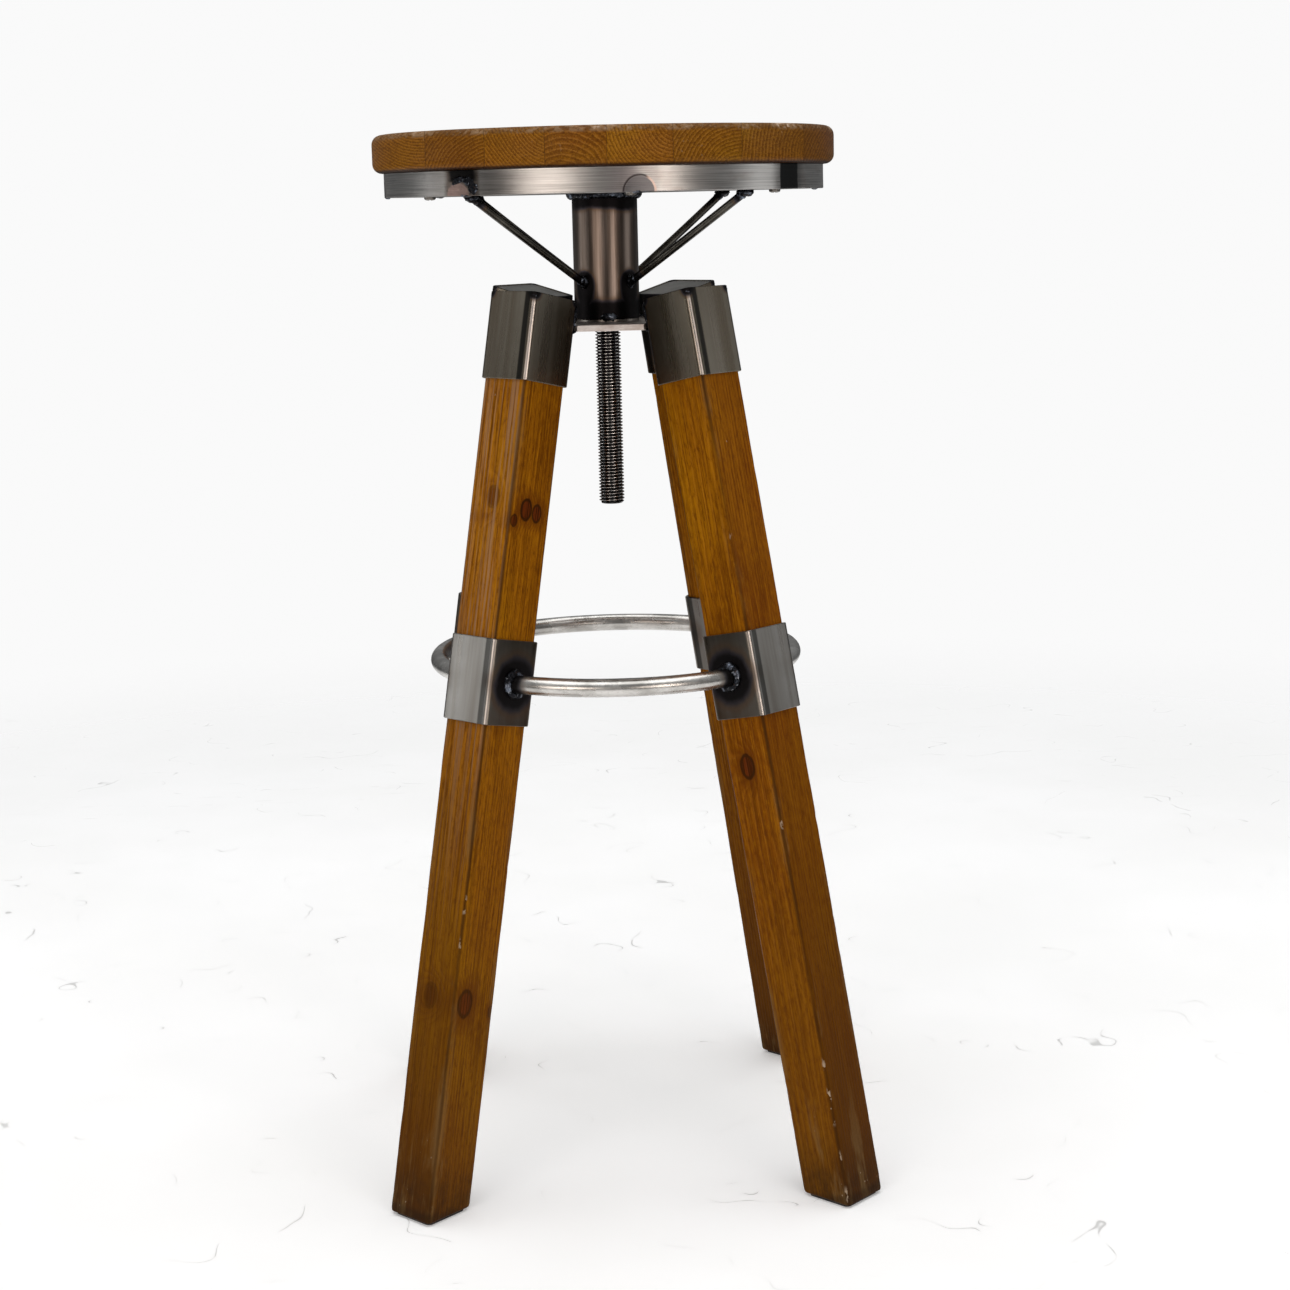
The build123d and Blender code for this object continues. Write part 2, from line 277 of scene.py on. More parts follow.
def leg_wood(name, seed, pith, knots, chips, streaks, redness):
    """streaks: how strongly the fibres show on the outward and inward faces, then on the side faces."""
    s = Shade(name)
    x, y, along = s.split(s.local_point())
    outward = s.step(s.sub(s.absolute(x), s.absolute(y)), -0.0015, 0.0015)
    colour, relief, blotch = pine(s, x, y, along, pith, seed, 0.0030, (0.328, 0.113, 0.0024), (0.150, 0.040, 0.0010),
                                  knots, rings=0.34, streaks=s.range(outward, streaks[1], streaks[0]))
    if streaks[0] > 0.8:                    # painted sheen: pinkish-grey fibres on the face that shows them most, standing in for the light from the left reflected there
        wear_and_sheen = s.grain((x, y, along), 400, 7, seed * 6, 3, 0.7)
        wear_and_sheen = s.mul(s.mul(outward, s.step(wear_and_sheen, 0.46, 0.62)), s.step(along, 0.12, 0.45))
        colour = s.over(colour, wear_and_sheen, 0.62, (0.335, 0.190, 0.100))
    if redness:                             # redder outward face, set from the photo: no cause is known
        colour = s.over(colour, s.mul(outward, s.range(blotch, 0.6, 1.3)), redness, (0.105, 0.022, 0.0008))
    low = s.step(s.add(along, s.mul(s.sub(blotch, 0.5), 0.25)), 0.56, -0.04)
    colour = s.over(colour, low, s.range(outward, 0.66, 0.92), (0.064, 0.021, 0.0010))
    grime = s.grain((x, y, along), 120, 90, seed, 3, 0.6)
    colour = s.over(colour, s.step(along, 0.060, 0.0), s.mul(grime, 1.15), (0.024, 0.011, 0.004))
    # greyish patches near the edges and over the last centimetres
    nearest = s.math("MINIMUM", s.absolute(x), s.absolute(y))
    dusty = s.grain((x, y, along), 70, 14, seed * 6, 4, 0.65)
    band = s.mul(s.step(nearest, LEG_HALF - 0.0085, LEG_HALF - 0.002), s.step(dusty, 0.48, 0.66))
    band = s.most(band, s.mul(s.step(along, 0.110, 0.010), s.step(dusty, 0.53, 0.66)))
    colour = s.over(colour, band, 0.38, (0.200, 0.125, 0.050))
    # the very edge is dark, with pale chips
    edge = s.step(nearest, LEG_HALF - 0.0030, LEG_HALF - 0.0012)
    sharp = s.step(nearest, LEG_HALF - 0.0026, LEG_HALF - 0.0012)
    where = s.grain((x, y, along), 20, 9, seed * 2, 2)
    colour = s.over(colour, edge, s.range(s.step(where, 0.66, 0.42), 0.25, 0.78), (0.040, 0.015, 0.003))
    flakes = s.grain((x, y, along), 260, 150, seed * 7, 2, 0.6)
    nick = s.mul(s.mul(sharp, s.step(flakes, 0.60, 0.67)), s.step(where, 0.58, 0.68))
    for side_x, side_y, low_end, high_end, amount in chips:
        here = s.mul(s.step(s.mul(x, side_x), 0.015, 0.018), s.step(s.mul(y, side_y), 0.015, 0.018))
        span = s.mul(s.step(along, low_end - 0.005, low_end + 0.003), s.step(along, high_end + 0.005, high_end - 0.003))
        worn = s.mul(s.mul(here, span), s.step(nearest, LEG_HALF - 0.0026, LEG_HALF - 0.0012))
        broken = s.mul(worn, s.step(flakes, 0.62 - 0.12 * amount, 0.68 - 0.12 * amount))
        nick = s.most(nick, s.mul(broken, 0.75 + 0.25 * amount))
    specks = s.grain((x, y, along), 330, 230, seed * 9, 1)
    foot_specks = s.mul(s.mul(s.step(specks, 0.73, 0.76), s.step(dusty, 0.50, 0.62)), s.step(along, 0.080, 0.015))
    nick = s.most(nick, s.mul(s.step(specks, 0.83, 0.845), 0.5), s.mul(foot_specks, 0.5))
    colour = s.over(colour, nick, 0.85, (0.47, 0.355, 0.245))
    colour = s.over(colour, s.step(along, 0.0085, 0.0030), 0.45, (0.012, 0.007, 0.004))
    s.set("Base Color", colour)
    s.set("Specular IOR Level", 0.025)
    s.set("Roughness", s.add(s.range(relief, 0.28, 0.44), s.mul(band, 0.15)))
    s.bump(s.sub(relief, s.mul(nick, 0.8)), 0.0004, 0.70)
    return s.material


def stave_wood(name, index, start, end, pith, tone, spacing):
    s = Shade(name)
    x, y, z = s.split(s.object_point())
    early = (0.258 * tone[0], 0.098 * tone[0] * tone[1], 0.006)
    late = (0.125 * tone[0], 0.041 * tone[0] * tone[1], 0.0035)
    colour, relief, _ = pine(s, x, z, y, pith, 20 + index * 3.7, spacing, early, late,
                             rings=0.66, streaks=0.4, speckle=0.35)
    radial = s.length(x, y)
    patch = s.noise(s.object_point(), 3, 0.65, scale=34)
    fine = s.noise(s.object_point(), 3, 0.65, scale=260)
    # crown on the rim's upper curve, its pale patches and flecks partly wear and partly a painted highlight of the
    # light from above; pale patches on top; painted shade under the lower curve
    crown = s.mul(s.step(z, SEAT_TOP - 0.0058, SEAT_TOP - 0.0030),
                  s.step(radial, SEAT_RADIUS - 0.013, SEAT_RADIUS - 0.005))
    colour = s.over(colour, crown, s.range(fine, 0.20, 0.80), (0.060, 0.032, 0.012))
    # pale patches and flecks on the crown: wear mixed with a painted highlight
    wear_and_highlight = s.mul(crown, s.step(s.add(s.mul(fine, 0.45), s.mul(patch, 0.55)), 0.47, 0.55))
    colour = s.over(colour, wear_and_highlight, 0.40, (0.36, 0.24, 0.14))
    flecks_and_highlight = s.mul(s.step(z, SEAT_TOP - 0.0040, SEAT_TOP - 0.0028),
                  s.step(radial, SEAT_RADIUS - 0.013, SEAT_RADIUS - 0.005))
    flecks_and_highlight = s.mul(s.mul(flecks_and_highlight, s.step(fine, 0.52, 0.60)), s.step(patch, 0.52, 0.62))
    colour = s.over(colour, flecks_and_highlight, s.range(s.step(x, -0.02, 0.02), 0.22, 0.80), (0.70, 0.55, 0.44))
    sat = s.mul(s.step(z, SEAT_TOP - 0.001, SEAT_TOP), s.step(patch, 0.45, 0.72))
    colour = s.over(colour, sat, 0.25, (0.38, 0.24, 0.11))
    scuff = s.mul(s.step(fine, 0.60, 0.68), s.step(patch, 0.54, 0.66))
    colour = s.over(colour, scuff, 0.30, (0.42, 0.28, 0.15))
    # painted shade under the rim's lower curve, where it turns down to the hoop
    shade_under_rim = s.step(z, SEAT_SHOULDER + 0.0030, SEAT_SHOULDER + 0.0008)
    colour = s.over(colour, shade_under_rim, 0.92, (0.016, 0.005, 0.002))
    joint = s.most(s.step(s.absolute(s.sub(x, start)), 0.0008, 0.0002),
                   s.step(s.absolute(s.sub(x, end)), 0.0008, 0.0002))
    on_top = s.step(z, SEAT_TOP - 0.0010, SEAT_TOP - 0.0002)
    colour = s.over(colour, joint, s.add(s.range(patch, 0.0, 0.22), s.mul(on_top, 0.32)), (0.060, 0.020, 0.005))
    s.set("Base Color", colour)
    s.set("Specular IOR Level", 0.05)
    s.set("Roughness", s.add(s.range(relief, 0.28, 0.42), s.mul(crown, 0.10)))
    s.bump(relief, 0.0004, 0.55)
    return s.material


def streaked(s, x, y, along, seed):
    """Rolling and grinding marks that run along a piece."""
    fine = s.grain((x, y, along), 1500, 14, seed, 2, 0.6)
    broad = s.grain((x, y, along), 190, 5, seed, 3, 0.6)
    cloud = s.grain((x, y, along), 45, 30, seed, 3, 0.6)
    return fine, broad, cloud


def burn(s, colour, heat, soft):
    """Black scale where a weld was, with a brown and blue rim round it. heat is 1 at the weld and 0 in clean metal."""
    colour = s.over(colour, s.step(heat, 0.05, 0.35), 0.55, (0.105, 0.062, 0.036))
    colour = s.over(colour, s.step(heat, 0.30, 0.60), 0.80, (0.030, 0.032, 0.045))
    return s.over(colour, s.step(heat, 0.50, 0.80), soft, (0.008, 0.007, 0.007))


def square_steel(name, light, dark, roughness, seed, weld=None, weld_reach=0.016, top=None, reflected_dark_line=0.92, wear_and_sheen=0.90,
                 side_shade=0.0):
    """Dark steel square tube: caps and sleeves, in leg coordinates.

    The side faces can be darkened on their own: a painted shade, matched to how dark they look, standing in for the dim
    surroundings these faces reflect.
    """
    s = Shade(name, metallic=1.0)
    x, y, along = s.split(s.local_point())
    fine, broad, cloud = streaked(s, x, y, along, seed)
    wide = s.grain((x, y, along), 75, 4, seed, 2)
    colour = s.mix(s.step(s.add(s.mul(wide, 0.65), s.mul(broad, 0.35)), 0.36, 0.64), dark, light)
    colour = s.over(colour, s.step(cloud, 0.52, 0.74), 0.35, dark)
    # bright corners: partly burnished wear, partly a painted highlight
    corner_reach = s.math("MINIMUM", s.absolute(x), s.absolute(y))
    wear_and_highlight = s.step(corner_reach, SLEEVE_HALF - 0.0026, SLEEVE_HALF - 0.0016)
    colour = s.over(colour, wear_and_highlight, wear_and_sheen, (0.74, 0.66, 0.60))
    # painted shade on the two side faces
    side = s.step(s.absolute(y), SLEEVE_HALF - 0.0015, SLEEVE_HALF - 0.0005)
    colour = s.over(colour, side, side_shade, (0.085, 0.070, 0.050))
    heat = 0.0
    if weld:
        spot = s.distance(s.join(x, s.absolute(y), along), weld)
        heat = s.step(s.add(spot, s.mul(s.sub(cloud, 0.5), 0.010)), weld_reach * 1.5, weld_reach * 0.45)
    if top:
        corner = s.distance(s.join(s.absolute(x), s.absolute(y), along),
                            (SLEEVE_HALF - 0.001, SLEEVE_HALF - 0.001, top))
        heat = s.most(heat, s.step(s.add(corner, s.mul(s.sub(cloud, 0.5), 0.003)), 0.010, 0.002))
        inner = s.mul(s.step(x, -0.017, -0.023), s.step(along, top - 0.060, top - 0.046))
        heat = s.most(heat, s.mul(inner, s.range(cloud, 0.35, 0.9)))
    colour = burn(s, colour, heat, 0.92)
    # a narrow dark line beside the corners of the outward and inward faces: a painted reflection of the dark gap
    # between the lamps
    line = s.sub(y, SLEEVE_HALF - 0.0066)
    line = s.absolute(s.add(line, s.mul(s.sub(cloud, 0.5), 0.0006)))
    line = s.mul(s.step(line, 0.0036, 0.0019), s.step(s.absolute(x), SLEEVE_HALF - 0.002, SLEEVE_HALF - 0.001))
    colour = s.over(colour, line, reflected_dark_line, (0.010, 0.010, 0.009))
    s.set("Base Color", colour)
    s.set("Roughness", s.add(s.range(broad, roughness - 0.06, roughness + 0.10), s.mul(heat, 0.22)))
    s.bump(s.add(s.mul(fine, 0.4), s.mul(broad, 0.5)), 0.00010, 0.4)
    return s.material


def plain_steel(name, light, dark, roughness, seed, grain=(30, 30, 30), heat_at=(), reach=0.01, bump=0.0001):
    """Mill-finish steel in row coordinates, with burnt marks round the listed points (mirrored in X and Y)."""
    s = Shade(name, metallic=1.0)
    x, y, z = s.split(s.object_point())
    fine, cloud = (s.noise(s.join(s.mul(x, grain[0] * times), s.mul(y, grain[1] * times),
                                  s.add(s.mul(z, grain[2] * times), seed)), detail, 0.6)
                   for times, detail in ((12, 2), (1, 3)))
    colour = s.mix(s.step(cloud, 0.34, 0.66), dark, light)
    colour = s.over(colour, s.step(fine, 0.50, 0.72), 0.35, dark)
    heat = 0.0
    folded = s.join(s.absolute(x), s.absolute(y), z)
    for point in heat_at:
        near = s.add(s.distance(folded, point), s.mul(s.sub(cloud, 0.5), reach * 0.5))
        heat = s.most(heat, s.step(near, reach * 1.5, reach * 0.5))
    if heat_at:
        colour = burn(s, colour, heat, 0.9)
    s.set("Base Color", colour)
    s.set("Roughness", s.add(s.range(cloud, roughness - 0.06, roughness + 0.10), s.mul(heat, 0.2)))
    s.bump(fine, bump, 0.5)
    return s.material


def tube_steel(name):
    """The centre tube: brownish steel, black at both ends and at the rods."""
    s = Shade(name, metallic=1.0)
    x, y, z = s.split(s.object_point())
    fine, broad, cloud = streaked(s, x, y, z, 3.0)
    colour = s.mix(s.step(broad, 0.34, 0.66), (0.088, 0.066, 0.053), (0.215, 0.170, 0.144))
    colour = s.over(colour, s.step(cloud, 0.52, 0.76), 0.35, (0.15, 0.105, 0.080))
    wander = s.mul(s.sub(cloud, 0.5), 0.010)
    level = s.add(z, wander)
    heat = s.most(s.step(level, STEEL_BOTTOM - 0.017, STEEL_BOTTOM - 0.006),
                  s.step(level, TUBE_BOTTOM + 0.021, TUBE_BOTTOM + 0.008))
    rod = ROD_FOOT[0] / math.sqrt(2)
    rise = s.sub(z, ROD_FOOT[1])
    rise = s.math("MAXIMUM", rise, s.mul(rise, 0.42))       # the black runs on down below each rod
    folded = s.join(s.absolute(x), s.absolute(y), rise)
    near = s.add(s.distance(folded, (rod, rod, 0.0)), s.mul(wander, 0.5))
    heat = s.most(heat, s.step(near, 0.0135, 0.0055))
    s.set("Base Color", burn(s, colour, heat, 0.93))
    s.set("Roughness", s.add(s.range(broad, 0.24, 0.36), s.mul(heat, 0.16)))
    s.bump(s.add(s.mul(fine, 0.4), broad), 0.00012, 0.5)
    return s.material


def hoop_steel(name, marks_start):
    """The seat's steel hoop, brushed round its length, with a ground weld every eighth of a turn and one butt joint."""
    s = Shade(name, metallic=1.0)
    x, y, z = s.split(s.object_point())
    angle = s.math("ARCTAN2", x, s.mul(y, -1.0))
    turn = s.mul(angle, HOOP_RADIUS)
    brushed = s.noise(s.join(s.mul(turn, 16), s.mul(z, 2600), 0.7), 2, 0.6)
    band = s.noise(s.join(s.mul(turn, 10), s.mul(z, 420), 4.0), 2, 0.5)
    cloud = s.noise(s.join(s.mul(turn, 38), s.mul(z, 60), 9.0), 3, 0.6)
    colour = s.mix(s.step(brushed, 0.34, 0.68), (0.32, 0.312, 0.30), (0.58, 0.565, 0.545))
    colour = s.over(colour, s.step(band, 0.50, 0.70), 0.35, (0.22, 0.205, 0.20))
    colour = s.over(colour, s.step(cloud, 0.52, 0.75), 0.35, (0.27, 0.195, 0.165))
    eighth = math.radians(45)
    phase = s.math("DIVIDE", s.sub(angle, marks_start), eighth)
    offset = s.sub(s.math("FRACT", s.add(phase, 0.5)), 0.5)
    across = s.mul(offset, eighth * HOOP_RADIUS)
    number = s.math("FLOOR", s.add(phase, 0.5))
    rise = s.sub(z, STEEL_BOTTOM + 0.0005)
    out = s.length(across, rise)
    out = s.add(out, s.mul(s.sub(cloud, 0.5), 0.0015))
    arch_line = s.mul(s.step(out, 0.0104, 0.0112), s.step(out, 0.0128, 0.0116))
    inside = s.step(out, 0.0112, 0.0102)
    butt = s.math("COMPARE", number, 2.0)
    butt.node.inputs[2].default_value = 0.5
    first = s.math("COMPARE", number, 0.0)
    first.node.inputs[2].default_value = 0.5
    plain_arch = s.sub(s.sub(1.0, butt), first)
    # a darker stretch round the first mark, set from the photo: painted shade for the dark surroundings the hoop
    # reflects there, with some heat tint near the weld
    heat_tint_and_shade = s.mul(s.mul(s.step(across, -0.064, -0.022), s.step(across, 0.066, 0.018)), first)
    colour = s.over(colour, heat_tint_and_shade, 0.66, (0.125, 0.112, 0.100))
    # the first mark has a thick bead over pinkish metal, black above to the hoop's full height
    wide = s.add(s.absolute(s.add(across, 0.0020)), s.mul(s.sub(cloud, 0.5), 0.005))
    black = s.mul(s.mul(s.step(wide, 0.0150, 0.0100), s.step(rise, 0.0085, 0.0105)), first)
    around = s.mul(s.mul(s.step(wide, 0.0190, 0.0130), s.step(across, 0.0155, 0.0125)), first)
    colour = s.over(colour, around, 0.80, (0.075, 0.055, 0.042))
    colour = s.over(colour, black, 0.97, (0.004, 0.004, 0.004))
    px = s.math("DIVIDE", s.add(across, 0.0060), 0.0105)
    pz = s.math("DIVIDE", rise, 0.0088)
    bare = s.length(px, pz)
    bare = s.mul(s.step(bare, 1.06, 0.90), first)
    colour = s.over(colour, bare, 0.92, s.mix(cloud, (0.150, 0.085, 0.068), (0.290, 0.215, 0.190)))
    shadow = s.mul(s.step(s.absolute(across), 0.0160, 0.0120), 0.15)
    colour = s.over(colour, shadow, plain_arch, (0.016, 0.012, 0.010))
    colour = s.over(colour, s.mul(inside, plain_arch), 0.80, s.mix(cloud, (0.050, 0.048, 0.054), (0.115, 0.106, 0.112)))
    tinted = s.mul(s.step(across, 0.004, -0.006), s.step(across, -0.034, -0.012))      # purplish patch beside a mark
    colour = s.over(colour, s.mul(tinted, plain_arch), s.mul(s.sub(1.0, inside), 0.50), (0.110, 0.080, 0.090))
    # the arch's outline: painted shade along its left side, painted highlight along its right
    colour = s.over(colour, s.mul(arch_line, plain_arch), 0.88,
                    s.mix(s.step(across, 0.004, 0.008), (0.022, 0.016, 0.018), (0.50, 0.36, 0.30)))
    dark_band = s.mul(s.step(s.absolute(s.add(across, s.mul(s.sub(cloud, 0.5), 0.003))), 0.0128, 0.0112), butt)
    near_band = s.mul(s.step(s.absolute(s.add(across, s.mul(s.sub(cloud, 0.5), 0.006))), 0.0240, 0.0120), butt)
    colour = s.over(colour, near_band, 0.55, (0.050, 0.048, 0.044))
    colour = s.over(colour, dark_band, 0.96, (0.007, 0.008, 0.008))
    s.set("Base Color", colour)
    s.set("Roughness", s.add(s.range(brushed, 0.22, 0.40), s.mul(dark_band, 0.10)))
    s.bump(s.add(brushed, s.mul(band, 0.6)), 0.00010, 0.5)
    return s.material


def thread_steel(name):
    """Dark screw with bright thread crests and black roots."""
    s = Shade(name, metallic=1.0)
    point = s.object_point()
    x, y, z = s.split(point)
    radial = s.length(x, y)
    patch = s.noise(s.join(s.mul(x, 90), s.mul(y, 90), s.mul(z, 30)), 3, 0.6)
    grit = s.noise(point, 2, 0.6, scale=900)
    crest = s.mul(s.step(radial, 0.0091, 0.0099), s.range(patch, 0.55, 1.1))
    colour = s.mix(crest, (0.024, 0.023, 0.023), (0.80, 0.77, 0.74))
    colour = s.over(colour, s.step(grit, 0.55, 0.72), 0.45, (0.07, 0.058, 0.048))
    s.set("Base Color", colour)
    s.set("Roughness", s.range(patch, 0.20, 0.30))
    s.bump(grit, 0.0001, 0.5)
    return s.material


def weld_steel(name):
    s = Shade(name, metallic=1.0)
    point = s.object_point()
    scale = s.noise(point, 3, 0.65, scale=420)
    patch = s.noise(point, 2, 0.5, scale=150)
    colour = s.mix(s.step(patch, 0.48, 0.66), (0.014, 0.015, 0.018), (0.145, 0.165, 0.205))
    colour = s.over(colour, s.step(scale, 0.60, 0.72), 0.8, (0.42, 0.44, 0.48))
    colour = s.over(colour, s.step(scale, 0.42, 0.30), 0.5, (0.070, 0.035, 0.020))
    s.set("Base Color", colour)
    s.set("Roughness", s.range(s.step(scale, 0.3, 0.7), 0.42, 0.22))
    s.bump(scale, 0.0004, 0.6)
    return s.material


def rubber(name):
    s = Shade(name)
    point = s.object_point()
    grains = s.noise(point, 3, 0.6, scale=900)
    dust = s.noise(point, 3, 0.6, scale=60)
    colour = s.mix(s.step(grains, 0.35, 0.70), (0.012, 0.011, 0.010), (0.030, 0.028, 0.026))
    colour = s.over(colour, s.step(dust, 0.55, 0.75), 0.5, (0.16, 0.145, 0.12))
    s.set("Base Color", colour)
    s.set("Roughness", s.range(grains, 0.70, 0.92))
    s.bump(grains, 0.0003, 0.6)
    return s.material


# ---------------------------------------------------------------- mesh building
def lean_axes(corner):
    """Foot point of a leg's centre line, and its outward, sideways and upward directions."""
    angle = math.radians(CORNERS[corner])
    ux, uy = math.cos(angle), math.sin(angle)
    c, d = math.cos(SPLAY), math.sin(SPLAY)
    foot = np.array((FOOT_RADIUS * ux, FOOT_RADIUS * uy, 0.0))
    return foot, np.array((c * ux, c * uy, d)), np.array((-uy, ux, 0.0)), np.array((-d * ux, -d * uy, c))


def to_row(corner, local):
    foot, out, side, up = lean_axes(corner)
    local = np.asarray(local, float)
    return foot + local[:, :1] * out + local[:, 1:2] * side + local[:, 2:3] * up


def piece(name, verts, faces, body, slot, material, replaces=(), local=None, sharp=32.0):
    mesh = bpy.data.meshes.new(name)
    mesh.from_pydata([tuple(map(float, v)) for v in verts], [], [tuple(f) for f in faces])
    if local is not None:
        attribute = mesh.attributes.new("local", "FLOAT_VECTOR", "POINT")
        attribute.data.foreach_set("vector", np.asarray(local, np.float32).ravel())
    work = bmesh.new()
    work.from_mesh(mesh)
    bmesh.ops.recalc_face_normals(work, faces=work.faces)
    work.to_mesh(mesh)
    work.free()
    return adopt(name, mesh, body, material, replaces, sharp)


def adopt(name, mesh, body, material, replaces=(), sharp=32.0):
    mesh.shade_smooth()
    mesh.set_sharp_from_angle(angle=math.radians(sharp))
    mesh.materials.clear()
    mesh.materials.append(material)
    obj = bpy.data.objects.new(name, mesh)
    scene.collection.objects.link(obj)
    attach(obj, body)
    if replaces:
        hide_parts(*replaces)
    return obj


def rounded_square(half, radius, arc=8, flat=2):
    """Points round a square with rounded corners. Extra points beside each corner keep the flats' shading flat."""
    points = []
    centre = half - radius
    for k in range(4):
        sx, sy = ((1, 1), (-1, 1), (-1, -1), (1, -1))[k]
        for i in range(arc + 1):
            a = math.pi / 2 * (k + i / arc)
            points.append((sx * centre + radius * math.cos(a), sy * centre + radius * math.sin(a)))
        dx, dy = ((-1, 0), (0, -1), (1, 0), (0, 1))[k]
        x, y = points[-1]
        for step in [0.0006] + [2 * centre * i / (flat + 1) for i in range(1, flat + 1)] + [2 * centre - 0.0006]:
            points.append((x + dx * step, y + dy * step))
    return np.array(points)


def bridge(rings, start, count, closed=False, ends=False):
    """Quads between neighbouring rings of count points each, numbered from start. ends closes the first and last."""
    faces = []
    total = rings if closed else rings - 1
    for j in range(total):
        a, b = start + j * count, start + ((j + 1) % rings) * count
        for i in range(count):
            n = (i + 1) % count
            faces.append((a + i, a + n, b + n, b + i))
    if ends:
        last = start + (rings - 1) * count
        faces += [tuple(range(start, start + count)), tuple(range(last, last + count))]
    return faces


def revolve(profile, segments, closed=True):
    """Solid of revolution about Z from (radius, z) points; a radius of 0 at an end is closed by a flat face."""
    angles = np.arange(segments) * 2 * math.pi / segments
    verts = [(r * math.cos(a), r * math.sin(a), z) for r, z in profile for a in angles]
    faces = bridge(len(profile), 0, segments, closed)
    if not closed:
        faces.append(tuple(range(segments))[::-1])
        faces.append(tuple(range((len(profile) - 1) * segments, len(profile) * segments)))
    return verts, faces


def build_leg(corner, seed, pith, knots, chips, streaks=(0.7, 0.5), redness=0.15):
    profile = rounded_square(LEG_HALF, LEG_EDGE, arc=6, flat=3)
    count = len(profile)
    inward = -profile / np.linalg.norm(profile, axis=1)[:, None]
    corner_share = np.clip((np.min(np.abs(profile), axis=1) - (LEG_HALF - 0.0035)) / 0.0025, 0, 1)
    local = []
    steps = [0.0, 0.0006, 0.0016, 0.003] + list(np.arange(0.006, LEG_TOP - 0.003, 0.0035)) + [LEG_TOP - 0.0008]
    insets = {0: 0.0011, 1: 0.0004, 2: 0.0001}
    for j, height in enumerate(steps):
        share = height / (LEG_TOP - 0.0008)
        for i, (px, py) in enumerate(profile):
            wear_and_sheen = noise.noise(Vector((px * 70, py * 70, height * 26 + seed * 11)))
            deep = noise.noise(Vector((px * 160, py * 160, height * 90 + seed * 5)))
            cut = corner_share[i] * (0.00025 + 0.0005 * max(wear_and_sheen, 0) + 0.0010 * max(deep - 0.35, 0))
            for side_x, side_y, low_end, high_end, amount in chips:
                if px * side_x > 0.015 and py * side_y > 0.015 and low_end < height < high_end:
                    cut += corner_share[i] * 0.0011 * amount * abs(deep)
            cut += insets.get(j, 0.0)
            qx, qy = px + inward[i][0] * cut, py + inward[i][1] * cut
            cut_height = (PAD_TOP - qx * math.sin(SPLAY)) / math.cos(SPLAY)
            local.append((qx, qy, cut_height + height - share * cut_height))
    faces = bridge(len(steps), 0, count, ends=True)
    piece(f"leg_wood_{corner}", to_row(corner, local), faces, "base", "leg_pine",
          leg_wood(f"leg_pine_{corner}", seed, pith, knots, chips, streaks, redness), (f"leg_{corner}",), local)


def square_tube(name, corner, span, slot, material, replaces):
    bevel = 0.00045
    outer, inner = SLEEVE_HALF, SLEEVE_HALF - SLEEVE_WALL
    low, high = span
    rings = [(outer - bevel, SLEEVE_CORNER, low), (outer, SLEEVE_CORNER, low + bevel)]
    rings += [(outer, SLEEVE_CORNER, low + (high - low) * i / 12) for i in range(1, 12)]
    rings += [(outer, SLEEVE_CORNER, high - bevel), (outer - bevel, SLEEVE_CORNER, high),
              (inner, 0.0022, high), (inner, 0.0022, low)]
    local = []
    for half, radius, along in rings:
        local += [(x, y, along) for x, y in rounded_square(half, radius)]
    local = np.array(local)
    # a flat of welded tube is never quite flat: it bows by a few hundredths of a millimetre
    for p in local:
        bow = noise.noise(Vector((p[0] * 35, p[1] * 35, p[2] * 22 + CORNERS[corner])))
        p[:2] *= 1.0 - 0.0012 * abs(bow)
    faces = bridge(len(rings), 0, len(local) // len(rings), closed=True)
    mirrored = local * (1, 1 if corner in ("front_left", "rear_right") else -1, 1)
    piece(name, to_row(corner, local), faces, "base", slot, material, replaces, mirrored)


def weld_bead(path, normals, width, height, seed, closed=False, ripple=0.0021, sides=12):
    """A hand-laid bead along a path: overlapping ripples of uneven size. Returns vertices and faces."""
    path, normals = np.asarray(path, float), np.asarray(normals, float)
    if closed:
        path, normals = np.vstack([path, path[:1]]), np.vstack([normals, normals[:1]])
    lengths = np.concatenate([[0], np.cumsum(np.linalg.norm(np.diff(path, axis=0), axis=1))])
    total = lengths[-1]
    count = max(8, int(total / 0.00055))
    stations = np.linspace(0, total, count, endpoint=not closed)
    at = np.stack([np.interp(stations, lengths, path[:, k]) for k in range(3)], 1)
    nor = np.stack([np.interp(stations, lengths, normals[:, k]) for k in range(3)], 1)
    verts = []
    for i in range(count):
        a = at[(i - 1) % count] if closed or i > 0 else at[i]
        b = at[(i + 1) % count] if closed or i < count - 1 else at[i]
        tangent = (b - a) / max(np.linalg.norm(b - a), 1e-9)
        normal = nor[i] - tangent * np.dot(nor[i], tangent)
        normal /= max(np.linalg.norm(normal), 1e-9)
        across = np.cross(tangent, normal)
        wave = (stations[i] / ripple) % 1.0
        uneven = noise.noise(Vector((stations[i] * 260, seed * 3.1, 0.5)))
        size = 1.0 - 0.20 * wave + 0.30 * uneven
        if not closed:
            end = min(stations[i], total - stations[i]) / 0.003
            size *= 0.35 + 0.65 * min(end, 1.0)
        for k in range(sides):
            a = 2 * math.pi * k / sides
            lump = 1 + 0.12 * noise.noise(Vector((stations[i] * 500, a * 1.3, seed)))
            verts.append(at[i] + (across * math.cos(a) * width + normal * math.sin(a) * height) * size * lump
                         + tangent * 0.0006 * math.sin(a))
    return verts, bridge(count, 0, sides, closed, ends=not closed)


